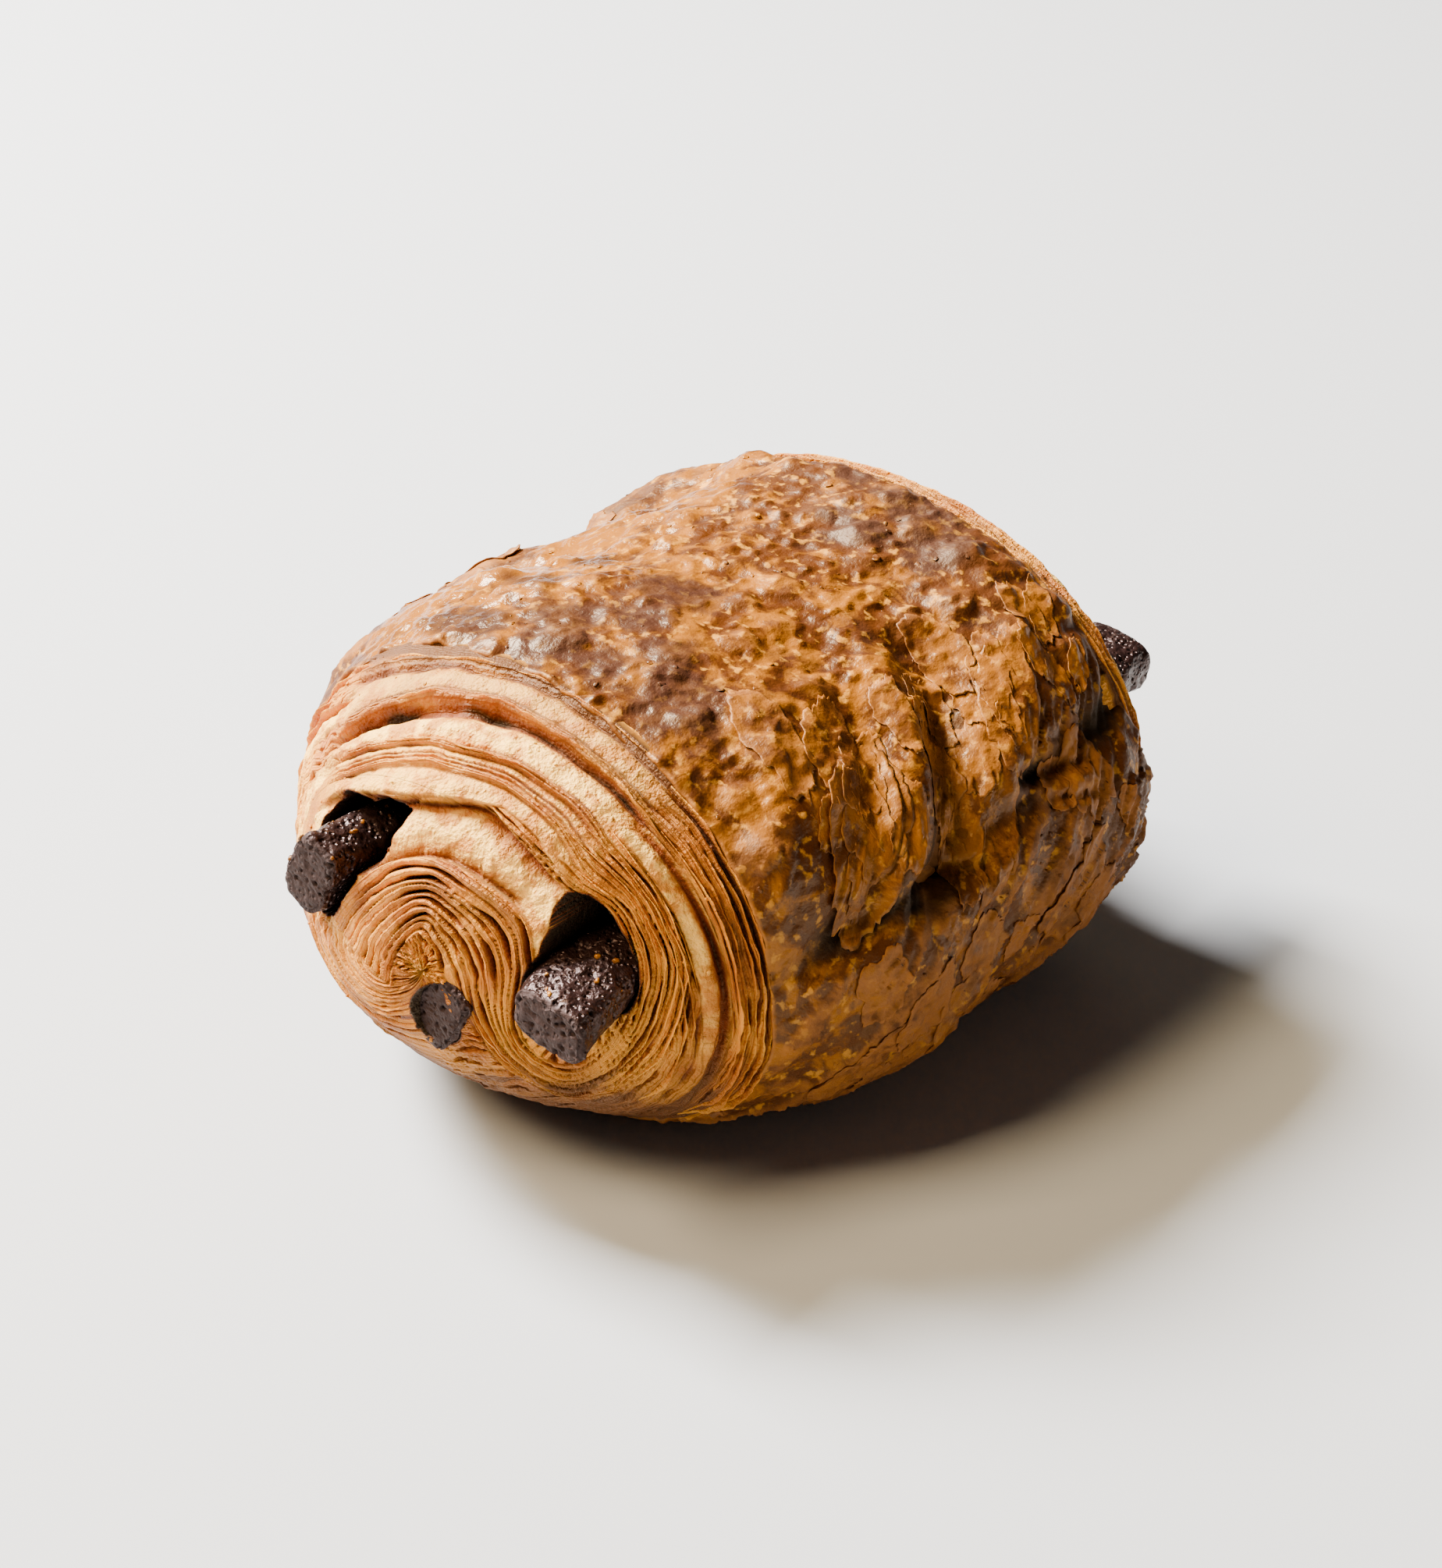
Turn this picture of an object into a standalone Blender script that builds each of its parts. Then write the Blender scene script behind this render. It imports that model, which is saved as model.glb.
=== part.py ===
"""A pain au chocolat: one rolled, laminated pastry with three chocolate batons running through it.

The roll lies along X with its open spiral ends at -X and +X. +Z is up, the base is flat at z = 0,
and the origin is under the middle of the box round the whole object. All sizes below are millimetres.
"""

import math

import bmesh
import bpy
from mathutils import Vector, noise

MM = 0.001

# The baked roll
ROLL_LENGTH = 98.0
ROLL_WIDTH = 85.0
ROLL_HEIGHT = 54.6
WIDEST_Z = 0.46 * ROLL_HEIGHT
BELLY = 1.16  # how far the round underside would reach past the flat base
SQUARENESS = 2.08  # exponent of the rounded cross-section
FRONT_TAPER = (2.0, 1.7)  # exponents of the long, soft shoulder at the front
BACK_TAPER = (7.0, 2.5)  # and of the blunt one at the back
TOP_LEAN = (-0.19, 0.35)  # how the top keeps its height towards both ends

# The rim of the outer wrap at each end, as shares of half the length
FRONT_RIM = -0.50
BACK_RIM = 0.75

# The eye of the roll, where the dough's inner end lies (y, z)
EYE = (-5.7, 29.5)

# Stations from the rim to the eye: share of the rim's radius, and how far the dough stands proud there.
# The wraps telescope, so each wrap's edge is proud and the next one starts in a gap under it.
FRONT_STATIONS = (
    (0.985, -0.6), (0.968, 0.5), (0.955, -0.3), (0.938, 0.7), (0.912, -1.7), (0.880, 0.1),
    (0.845, 1.0), (0.822, -0.5), (0.800, 0.7), (0.777, -0.5), (0.752, 0.7), (0.727, -0.5),
    (0.700, 0.9), (0.668, -2.4), (0.610, -1.9), (0.540, -0.5), (0.470, 0.9), (0.430, -0.5),
    (0.385, 0.7), (0.335, -0.5), (0.285, 0.7), (0.235, -0.5), (0.185, 0.6), (0.130, -0.4), (0.075, 0.5),
)
BACK_STATIONS = (
    (0.985, -0.5), (0.955, 0.5), (0.920, -1.3), (0.870, 0.8), (0.820, -0.4), (0.760, 0.6),
    (0.700, -1.6), (0.620, -0.8), (0.540, 0.8), (0.460, -0.4), (0.370, 0.6), (0.280, -0.4),
    (0.190, 0.6), (0.100, -0.3),
)
AROUND = 80  # points round the roll
CRUST_RINGS = 17  # rings of crust between the two rims

# Relief of the baked crust: blisters all over, and folds that run down the sides, leaning to the front.
# A fold is (where it crosses z = 0, how far it stands out, half its width), and a valley stands inwards.
BLISTER = 0.6
BLISTER_PITCH = 9.0
FOLDS_RIGHT = (
    (-62.0, 1.2, 4.5), (-50.0, -1.2, 3.5), (-42.5, 1.3, 3.2), (-34.5, -2.2, 3.6), (-23.0, 1.5, 6.0),
)
FOLDS_LEFT = (
    (-60.0, 0.8, 5.0), (-47.0, -1.5, 4.0), (-36.0, 1.4, 5.0), (-22.0, -1.4, 4.5), (-10.0, 1.0, 5.0),
)
FOLD_LEAN = 1.0
FOLD_FOOT = 26.0  # the folds fade out below this height
SUNKEN_SHOULDER = (-1.5, 12.0, 22.0)  # the left shoulder sinks by this much round this X, over this length
# The crease along each side: its height at x = 0, its rise along X, its depth and half its width
CREASE = (35.0, 0.13, 1.7, 2.4)

# The batons: cross-section, and where each one's middle line starts and ends (x, y, z)
BATON_WIDTH = 10.0
BATON_HEIGHT = 6.2
BATON_CORNER = 3.6  # exponent of the rounded bar
BATON_AROUND = 16
BATON_RINGS = 18
BATON_EDGE = 0.7  # how far the broken edge at each end is rounded off
BATON_LUMPS = 0.2
TUNNEL_CLEARANCE = 0.6
BATONS = {
    "baton_left": {"front": (-48.2, 11.5, 34.3), "back": (55.0, 11.0, 31.0), "turn": 65.0},
    "baton_right": {"front": (-46.0, -20.3, 31.5), "back": (58.0, -21.3, 30.4), "turn": -5.0},
    "baton_centre": {"front": (-47.3, -7.2, 24.2), "back": (50.0, -6.0, 22.0), "turn": 60.0},
}
BOWS = {"baton_right": (-2.2, -2.3)}  # how far a baton's front end bends aside (y, z)
BOW_LENGTH = 18.0  # over this stretch

# The hollows that the baking opened beside the batons: reach from the baton's middle line towards
# each direction, in degrees from -Y (right, seen from the front) towards +Z, and how deep they run
HOLLOWS = {
    "baton_left": {
        "reach": {
            -90: 6.0, -30: 4.1, 15: 4.9, 39: 11.0, 47: 13.9, 58: 11.8, 75: 8.6, 93: 7.8,
            130: 5.5, 180: 4.2, 240: 5.5,
        },
        "depth": 18.0,
    },
    "baton_right": {
        "reach": {
            -90: 3.9, -30: 5.5, 13: 5.5, 42: 5.8, 65: 6.9, 80: 8.2, 94: 9.7, 106: 10.4,
            113: 9.3, 119: 7.4, 137: 5.7, 160: 5.7, 190: 5.6,
        },
        "depth": 20.0,
    },
    "baton_centre": {"reach": {}, "depth": 6.0},
}
CUTTER_AROUND = 30
CUTTER_REACH = 12.0  # how far a cutter runs out past the roll

CRUST_BROWN = (0.47, 0.19, 0.045)
CHOCOLATE = (0.030, 0.015, 0.012)


def clear_scene():
    for item in list(bpy.data.objects):
        bpy.data.objects.remove(item)


def signed_power(value, power):
    return math.copysign(abs(value) ** power, value)


def fullness(u):
    """Share of the full cross-section left at u, from -1 at the front tip to 1 at the back."""
    power, root = FRONT_TAPER if u < 0 else BACK_TAPER
    return max(0.0, 1 - abs(u) ** power) ** (1 / root)


def half_sizes(u):
    """Half width, and reach above and below the widest height, of the cross-section at u."""
    full = fullness(u)
    top = (ROLL_HEIGHT - WIDEST_Z) * full * (1 + TOP_LEAN[0] * u + TOP_LEAN[1] * u * u)
    return ROLL_WIDTH / 2 * full, top, WIDEST_Z * BELLY * full


def outline_at(u, count=360):
    """The roll's cross-section at u as (y, z) points, flat where it rests."""
    half_width, top, under = half_sizes(u)
    points = []
    for k in range(count):
        turn = 2 * math.pi * k / count
        across = signed_power(math.cos(turn), 2 / SQUARENESS)
        up = signed_power(math.sin(turn), 2 / SQUARENESS)
        height = WIDEST_Z + up * (top if up > 0 else under)
        points.append((half_width * across, max(0.0, height)))
    return points


def end_depth(y, z, rim):
    """X where the plain roll's end passes through this y and z, found by halving between rim and tip."""
    near, far = rim, math.copysign(1.0, rim)
    for _ in range(26):
        u = (near + far) / 2
        half_width, top, under = half_sizes(u)
        reach = abs(y / max(half_width, 1e-6)) ** SQUARENESS
        reach += abs((z - WIDEST_Z) / max(top if z > WIDEST_Z else under, 1e-6)) ** SQUARENESS
        near, far = (u, far) if reach < 1 else (near, u)
    return u * ROLL_LENGTH / 2


def reach_from_eye(outline):
    """The outline's distance from the eye, one value for each direction round the roll."""
    polar = []
    for y, z in outline:
        across, up = EYE[0] - y, z - EYE[1]
        polar.append((math.atan2(up, across) % (2 * math.pi), math.hypot(across, up)))
    polar.sort()
    polar = [(polar[-1][0] - 2 * math.pi, polar[-1][1])] + polar + [(polar[0][0] + 2 * math.pi, polar[0][1])]
    reaches = []
    for k in range(AROUND):
        turn = 2 * math.pi * k / AROUND
        for (a, ra), (b, rb) in zip(polar, polar[1:]):
            if a <= turn <= b:
                reaches.append(ra + (rb - ra) * (turn - a) / max(b - a, 1e-9))
                break
    return reaches


def around_eye(reach, turn):
    """(y, z) at this distance and direction from the eye. Direction 0 is -Y, a quarter turn is +Z."""
    return EYE[0] - reach * math.cos(turn), EYE[1] + reach * math.sin(turn)


def wander(x, y, z, pitch, seed):
    """Smooth noise from -1 to 1 that changes over about one pitch."""
    return noise.noise(Vector((x / pitch + seed, y / pitch, z / pitch)))


def ease(value, low, high):
    """0 at low, 1 at high, smooth between them."""
    share = min(1.0, max(0.0, (value - low) / (high - low)))
    return share * share * (3 - 2 * share)


def crust_relief(x, y, z):
    """How far the crust stands out at this point of the plain roll."""
    blisters = BLISTER * wander(x, y, z, BLISTER_PITCH, 3.0)
    side = ease(abs(y), 8.0, 28.0)
    along = x - FOLD_LEAN * z + 2.5 * wander(x, y, z, 16.0, 17.0)
    folds = sum(
        height * math.exp(-(((along - place) / width) ** 2))
        for place, height, width in (FOLDS_RIGHT if y < 0 else FOLDS_LEFT)
    )
    level, rise, depth, width = CREASE
    off_crease = z - level - rise * x - 1.5 * wander(x, 0.0, 0.0, 9.0, 23.0)
    crease = depth * math.exp(-((off_crease / width) ** 2)) * ease(x, -22.0, -8.0)
    depth, place, length = SUNKEN_SHOULDER
    sunken = depth * math.exp(-(((x - place) / length) ** 2)) * ease(y, 12.0, 26.0) * ease(z, 36.0, 42.0)
    return blisters + sunken + side * (folds * ease(z, FOLD_FOOT, FOLD_FOOT + 10.0) - crease)


def crust_ring(u):
    """One ring of crust points at u, with its relief, kept on the base where it rests."""
    x = u * ROLL_LENGTH / 2
    ring = []
    for k, reach in enumerate(reach_from_eye(outline_at(u))):
        turn = 2 * math.pi * k / AROUND
        y, z = around_eye(reach, turn)
        if z > 0.01:
            y, z = around_eye(reach + crust_relief(x, y, z), turn)
            z = max(z, 0.25)
        ring.append(Vector((x, y, z)))
    return ring


def face_ring(rim_reach, share, proud, rim):
    """One ring of a spiral end, at this share of the rim's reach, standing proud of the plain roll."""
    side = math.copysign(1.0, rim)
    step = 0.3
    ring = []
    for k, reach in enumerate(rim_reach):
        turn = 2 * math.pi * k / AROUND
        y, z = around_eye(share * reach, turn)
        x = end_depth(y, z, rim)
        rise_y = (end_depth(y + step, z, rim) - end_depth(y - step, z, rim)) / (2 * step)
        rise_z = (end_depth(y, z + step, rim) - end_depth(y, z - step, rim)) / (2 * step)
        outward = Vector((side, -side * rise_y, -side * rise_z)).normalized()
        ragged = proud * (1 + 0.5 * wander(x, y, z, 11.0, 31.0 + side)) + 0.4 * wander(x, y, z, 6.0, 47.0)
        point = Vector((x, y, z)) + outward * ragged
        ring.append(Vector((point.x, point.y, max(point.z, 0.25))))
    return ring


def mesh_object(name, rings, tips, colour, roughness):
    """A closed solid lofted through the rings, with a fan to the point at each end."""
    form = bmesh.new()
    loops = [[form.verts.new(point * MM) for point in ring] for ring in rings]
    for lower, upper in zip(loops, loops[1:]):
        for k in range(len(lower)):
            after = (k + 1) % len(lower)
            form.faces.new((lower[k], lower[after], upper[after], upper[k]))
    for loop, tip in ((loops[0], tips[0]), (loops[-1], tips[1])):
        middle = form.verts.new(tip * MM)
        for k in range(len(loop)):
            form.faces.new((loop[k], loop[(k + 1) % len(loop)], middle))
    bmesh.ops.recalc_face_normals(form, faces=form.faces)
    mesh = bpy.data.meshes.new(name)
    form.to_mesh(mesh)
    form.free()
    mesh.shade_smooth()
    mesh.set_sharp_from_angle(angle=math.radians(50))
    made = bpy.data.objects.new(name, mesh)
    bpy.context.scene.collection.objects.link(made)
    finish = bpy.data.materials.new(name)
    finish.use_nodes = True
    shader = finish.node_tree.nodes["Principled BSDF"]
    shader.inputs["Base Color"].default_value = (*colour, 1)
    shader.inputs["Roughness"].default_value = roughness
    made.data.materials.append(finish)
    return made


def make_roll():
    """The whole pastry before the batons' tunnels are cut."""
    front_rim = reach_from_eye(outline_at(FRONT_RIM))
    back_rim = reach_from_eye(outline_at(BACK_RIM))
    rings = [face_ring(front_rim, share, proud, FRONT_RIM) for share, proud in reversed(FRONT_STATIONS)]
    for k in range(CRUST_RINGS):
        rings.append(crust_ring(FRONT_RIM + (BACK_RIM - FRONT_RIM) * k / (CRUST_RINGS - 1)))
    rings += [face_ring(back_rim, share, proud, BACK_RIM) for share, proud in BACK_STATIONS]
    tips = [Vector((end_depth(*EYE, rim), *EYE)) for rim in (FRONT_RIM, BACK_RIM)]
    return mesh_object("pastry", rings, tips, CRUST_BROWN, 0.45)


def bar_reach(direction):
    """The baton's reach from its middle line, for a direction in degrees on its own cross-section."""
    c, s = abs(math.cos(math.radians(direction))), abs(math.sin(math.radians(direction)))
    wide = (c / (BATON_WIDTH / 2)) ** BATON_CORNER
    high = (s / (BATON_HEIGHT / 2)) ** BATON_CORNER
    return (wide + high) ** (-1 / BATON_CORNER)


def hollow_reach(reaches, direction):
    """The hollow's reach for a direction in degrees, eased between the stated ones."""
    stated = sorted((angle % 360, reach) for angle, reach in reaches.items())
    stated = [(stated[-1][0] - 360, stated[-1][1])] + stated + [(stated[0][0] + 360, stated[0][1])]
    direction %= 360
    for (a, ra), (b, rb) in zip(stated, stated[1:]):
        if a <= direction <= b:
            ease = (1 - math.cos(math.pi * (direction - a) / (b - a))) / 2
            return ra + (rb - ra) * ease
    return 0.0


def baton_ring(count, middle, turn, spread, lumps, hollow=None, openness=0.0):
    """A ring round the baton's middle line. openness blends the baton's own outline into the hollow's."""
    ring = []
    for k in range(count):
        direction = 360 * k / count
        reach = bar_reach(direction - turn) + spread
        if hollow and openness > 0:
            wide = hollow_reach(hollow, direction)
            reach += max(0.0, wide - reach) * openness
        angle = math.radians(direction)
        y, z = middle.y - math.cos(angle) * reach, middle.z + math.sin(angle) * reach
        reach += lumps * wander(middle.x, y, z, 3.0, 71.0)
        y, z = middle.y - math.cos(angle) * reach, middle.z + math.sin(angle) * reach
        ring.append(Vector((middle.x, y, z)))
    return ring


def baton_line(name, x):
    """The point of the baton's middle line at this x, also past its ends."""
    front, back = Vector(BATONS[name]["front"]), Vector(BATONS[name]["back"])
    share = (x - front.x) / (back.x - front.x)
    bend = min(1.0, max(0.0, 1 - (x - front.x) / BOW_LENGTH)) ** 2
    return front + (back - front) * share + Vector((0.0, *BOWS.get(name, (0.0, 0.0)))) * bend


def make_baton(name, place):
    """A bar of chocolate with softened ends and a lumpy skin."""
    front, back = place["front"][0], place["back"][0]
    first, last = front + BATON_EDGE, back - BATON_EDGE
    stations = [(front, -BATON_EDGE)]
    stations += [(first + (last - first) * k / (BATON_RINGS - 1), 0.0) for k in range(BATON_RINGS)]
    stations += [(back, -BATON_EDGE)]
    rings = [
        baton_ring(BATON_AROUND, baton_line(name, x), place["turn"], spread, BATON_LUMPS)
        for x, spread in stations
    ]
    tips = (baton_line(name, front), baton_line(name, back))
    return mesh_object(name, rings, tips, CHOCOLATE, 0.5)


def make_cutter(name, place, hollow):
    """The tunnel that the baton lies in, opening into its hollow at both ends."""
    near = -ROLL_LENGTH / 2 - CUTTER_REACH
    far = ROLL_LENGTH / 2 + CUTTER_REACH
    mouth = -ROLL_LENGTH / 2 + 4.0
    depth = hollow["depth"]
    back_mouth = ROLL_LENGTH / 2 - 3.0
    stations = [
        (near, 1.0), (mouth, 1.0), (mouth + 0.45 * depth, 0.85), (mouth + 0.8 * depth, 0.5),
        (mouth + depth, 0.0), (back_mouth - 0.5 * depth, 0.0), (back_mouth - 0.3 * depth, 0.35),
        (back_mouth, 0.6), (far, 0.6),
    ]
    rings = []
    for x, openness in stations:
        middle = baton_line(name, x)
        rings.append(
            baton_ring(CUTTER_AROUND, middle, place["turn"], TUNNEL_CLEARANCE, 0.0, hollow["reach"], openness)
        )
    tips = (baton_line(name, near), baton_line(name, far))
    cutter = mesh_object(name + "_cutter", rings, tips, CHOCOLATE, 0.5)
    cutter.hide_render = True
    cutter.display_type = "WIRE"
    return cutter


def centre_on_box(pieces, cutters):
    """Moves every mesh so that the box round the pieces stands on the origin, with its centre over it."""
    graph = bpy.context.evaluated_depsgraph_get()
    corners = [Vector(corner) for piece in pieces for corner in piece.evaluated_get(graph).bound_box]
    low = Vector([min(corner[axis] for corner in corners) for axis in range(3)])
    high = Vector([max(corner[axis] for corner in corners) for axis in range(3)])
    shift = Vector((-(low.x + high.x) / 2, -(low.y + high.y) / 2, -low.z))
    for piece in pieces + cutters:
        for point in piece.data.vertices:
            point.co += shift


def main():
    clear_scene()
    pastry = make_roll()
    batons = [make_baton(name, place) for name, place in BATONS.items()]
    cutters = [make_cutter(name, BATONS[name], hollow) for name, hollow in HOLLOWS.items()]
    for cutter in cutters:
        cut = pastry.modifiers.new(cutter.name, "BOOLEAN")
        cut.operation = "DIFFERENCE"
        cut.object = cutter
    centre_on_box([pastry] + batons, cutters)


main()
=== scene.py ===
import math
import bmesh
import bpy
import numpy as np
from mathutils import Matrix, Vector, kdtree


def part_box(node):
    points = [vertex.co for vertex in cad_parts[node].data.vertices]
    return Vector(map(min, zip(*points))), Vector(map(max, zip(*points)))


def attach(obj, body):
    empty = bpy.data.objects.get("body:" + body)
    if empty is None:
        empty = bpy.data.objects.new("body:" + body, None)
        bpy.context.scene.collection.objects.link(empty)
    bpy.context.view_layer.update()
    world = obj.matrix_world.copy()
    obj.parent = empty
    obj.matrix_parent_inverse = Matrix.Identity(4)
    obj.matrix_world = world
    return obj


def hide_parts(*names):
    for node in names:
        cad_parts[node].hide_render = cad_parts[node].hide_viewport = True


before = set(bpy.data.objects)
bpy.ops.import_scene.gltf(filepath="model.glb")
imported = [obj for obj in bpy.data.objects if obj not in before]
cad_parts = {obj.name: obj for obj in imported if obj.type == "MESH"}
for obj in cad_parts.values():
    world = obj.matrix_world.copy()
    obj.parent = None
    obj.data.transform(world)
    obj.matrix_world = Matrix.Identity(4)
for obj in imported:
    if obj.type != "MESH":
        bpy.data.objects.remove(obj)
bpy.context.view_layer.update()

# Everything is modelled in millimetres in the roll's own frame, then moved onto the CAD solids.
# Along X lies the roll, its open near end at -X. The near end's right, as the photo shows it, is -Y.
mm = 0.001
roll = {
    "length": 98.0, "width": 85.0, "height": 54.6, "widestAt": 0.46, "belly": 1.16, "squareness": 2.08,
    "frontTaper": (2.0, 1.7), "backTaper": (7.0, 2.5), "topLean": (-0.19, 0.35), "eye": (-5.7, 29.5),
}
ends = {
    "front": {"rim": -0.50, "side": -1, "seed": 0.0},
    "back": {"rim": 0.75, "side": 1, "seed": 40.0},
}
batons = {
    "baton_left": {"front": (-48.2, 11.5, 34.3), "back": (55.0, 11.0, 31.0), "turn": 65.0},
    "baton_right": {"front": (-46.0, -20.3, 31.5), "back": (58.0, -21.3, 30.4), "turn": -5.0},
    "baton_centre": {"front": (-47.3, -7.2, 24.2), "back": (50.0, -6.0, 22.0), "turn": 60.0},
}
bows = {"baton_right": (-2.2, -2.3), "length": 18.0}  # the front end's bend aside (y, z), over this stretch
eyeY, eyeZ = roll["eye"]
rightBox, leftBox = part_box("baton_right"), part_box("baton_left")
leftMiddle = (batons["baton_left"]["front"][1] + batons["baton_left"]["back"][1]) / 2
shift = np.array([
    rightBox[1].x / mm - batons["baton_right"]["back"][0],
    (leftBox[0].y + leftBox[1].y) / 2 / mm - leftMiddle, 0.0,
])


# Numbers and noise

def ease(value, low, high):
    share = np.clip((value - low) / (high - low), 0.0, 1.0)
    return share * share * (3 - 2 * share)


def hump(value, middle, width):
    return np.exp(-((value - middle) / width) ** 2)


noiseDraw = np.random.RandomState(5)
shuffled = np.tile(noiseDraw.permutation(256), 2)
slopes = noiseDraw.normal(size=(256, 3))
slopes /= np.linalg.norm(slopes, axis=1, keepdims=True)


def smoothNoise(x, y, z):  # gradient noise, about -1 to 1, that changes over one unit
    x, y, z = np.broadcast_arrays(np.asarray(x, float), np.asarray(y, float), np.asarray(z, float))
    low = [np.floor(part).astype(int) for part in (x, y, z)]
    off = [part - whole for part, whole in zip((x, y, z), low)]
    blend = [part ** 3 * (part * (part * 6 - 15) + 10) for part in off]
    total = np.zeros(x.shape)
    for i in (0, 1):
        for j in (0, 1):
            for k in (0, 1):
                pick = shuffled[(low[0] + i) & 255]
                pick = shuffled[(pick + low[1] + j) & 255]
                pick = shuffled[(pick + low[2] + k) & 255]
                slope = slopes[pick]
                away = (off[0] - i, off[1] - j, off[2] - k)
                value = sum(slope[..., axis] * away[axis] for axis in range(3))
                weight = (blend[0] if i else 1 - blend[0]) * (blend[1] if j else 1 - blend[1])
                total += value * weight * (blend[2] if k else 1 - blend[2])
    return total * 1.7


def roughNoise(x, y, z, octaves=3, seed=0.0):
    total, height = 0.0, 1.0
    for octave in range(octaves):
        total = total + height * smoothNoise(x * 2 ** octave + seed, y * 2 ** octave, z * 2 ** octave)
        height *= 0.5
    return total


def cells(x, y, z, seed=0):  # distance to the nearest cell point, and that point's own number
    low = [np.floor(part).astype(int) for part in (x, y, z)]
    nearest, own = np.full(x.shape, 9.0), np.zeros(x.shape)
    for i in (-1, 0, 1):
        for j in (-1, 0, 1):
            for k in (-1, 0, 1):
                pick = shuffled[(low[0] + i + seed) & 255]
                pick = shuffled[(pick + low[1] + j) & 255]
                pick = shuffled[(pick + low[2] + k) & 255]
                place = slopes[pick] * 0.45 + 0.5
                gap = np.sqrt(
                    (low[0] + i + place[..., 0] - x) ** 2 + (low[1] + j + place[..., 1] - y) ** 2
                    + (low[2] + k + place[..., 2] - z) ** 2
                )
                own = np.where(gap < nearest, pick / 255.0, own)
                nearest = np.minimum(nearest, gap)
    return nearest, own


# The roll's plain form, the same as the solid's

widest = roll["widestAt"] * roll["height"]


def halfSizes(u):  # half width, and reach above and below the widest height, at u
    frontPower, frontRoot = roll["frontTaper"]
    backPower, backRoot = roll["backTaper"]
    front = np.maximum(0.0, 1 - np.abs(u) ** frontPower) ** (1 / frontRoot)
    full = np.where(u < 0, front, np.maximum(0.0, 1 - np.abs(u) ** backPower) ** (1 / backRoot))
    lean = roll["topLean"]
    top = (roll["height"] - widest) * full * (1 + lean[0] * u + lean[1] * u * u)
    return roll["width"] / 2 * full, top, widest * roll["belly"] * full


def reachPoint(u, reach, turns):  # points at u and this distance from the eye
    along = u * roll["length"] / 2 + turns * 0
    return np.stack([along, eyeY - reach * np.cos(turns), eyeZ + reach * np.sin(turns)], axis=-1)


def depthAt(y, z, rim):  # x where the plain roll's end passes through this y and z
    near, far = np.full(y.shape, float(rim)), np.full(y.shape, math.copysign(1.0, rim))
    for _ in range(24):
        u = (near + far) / 2
        halfWidth, top, under = (np.maximum(size, 1e-6) for size in halfSizes(u))
        reach = np.abs(y / halfWidth) ** roll["squareness"]
        reach += np.abs((z - widest) / np.where(z > widest, top, under)) ** roll["squareness"]
        near, far = np.where(reach < 1, u, near), np.where(reach < 1, far, u)
    return near * roll["length"] / 2


def reachAt(u, turns):  # distance from the eye to the roll's outside at u, for each direction
    halfWidth, top, under = halfSizes(u)
    angle = np.linspace(0, 2 * np.pi, 1440, endpoint=False)
    power = 2 / roll["squareness"]
    across = np.sign(np.cos(angle)) * np.abs(np.cos(angle)) ** power
    up = np.sign(np.sin(angle)) * np.abs(np.sin(angle)) ** power
    y = halfWidth * across
    z = np.maximum(0.0, widest + up * np.where(up > 0, top, under))
    polar = np.arctan2(z - eyeZ, eyeY - y) % (2 * np.pi)
    order = np.argsort(polar)
    return np.interp(turns, polar[order], np.hypot(y - eyeY, z - eyeZ)[order], period=2 * np.pi)


def gridNormals(points, outward):  # normals of a grid that closes on itself along its second axis
    along = np.gradient(points, axis=0)
    around = np.roll(points, -1, axis=1) - np.roll(points, 1, axis=1)
    normal = np.cross(along, around)
    normal /= np.maximum(np.linalg.norm(normal, axis=2, keepdims=True), 1e-9)
    return normal * np.sign((normal * outward).sum(2, keepdims=True).mean())


def loft(rings, tips, marks):
    # rings is (rows, columns, 3) in mm, with a fan to the tip at each end, or joined to itself without tips
    rows, columns = rings.shape[:2]
    points = rings.reshape(-1, 3)
    index = np.arange(rows * columns).reshape(rows, columns)
    after = np.roll(index, -1, axis=1)
    if tips is None:
        quads = np.stack([index, after, np.roll(after, -1, axis=0), np.roll(index, -1, axis=0)], axis=-1)
    else:
        quads = np.stack([index[:-1], after[:-1], after[1:], index[1:]], axis=-1)
    faces = quads.reshape(-1, 4).tolist()
    marks = marks.reshape(-1, marks.shape[-1])
    if tips is not None:
        points = np.concatenate([points, np.array(tips, float)])
        marks = np.concatenate([marks, marks[:1], marks[-1:]])
        first, last = rows * columns, rows * columns + 1
        faces += [(int(after[0, k]), int(index[0, k]), first) for k in range(columns)]
        faces += [(int(index[-1, k]), int(after[-1, k]), last) for k in range(columns)]
    sample = faces[::max(1, len(faces) // 3000)]  # enough to tell whether the faces point outward
    corners = points[np.array([face[:3] for face in sample])]
    spans = np.cross(corners[:, 1] - corners[:, 0], corners[:, 2] - corners[:, 0])
    if (spans * (corners[:, 0] - points.mean(0))).sum() < 0:
        faces = [face[::-1] for face in faces]
    return points, faces, marks


def addObject(name, data):
    made = bpy.data.objects.new(name, data)
    bpy.context.scene.collection.objects.link(made)
    return made


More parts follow.
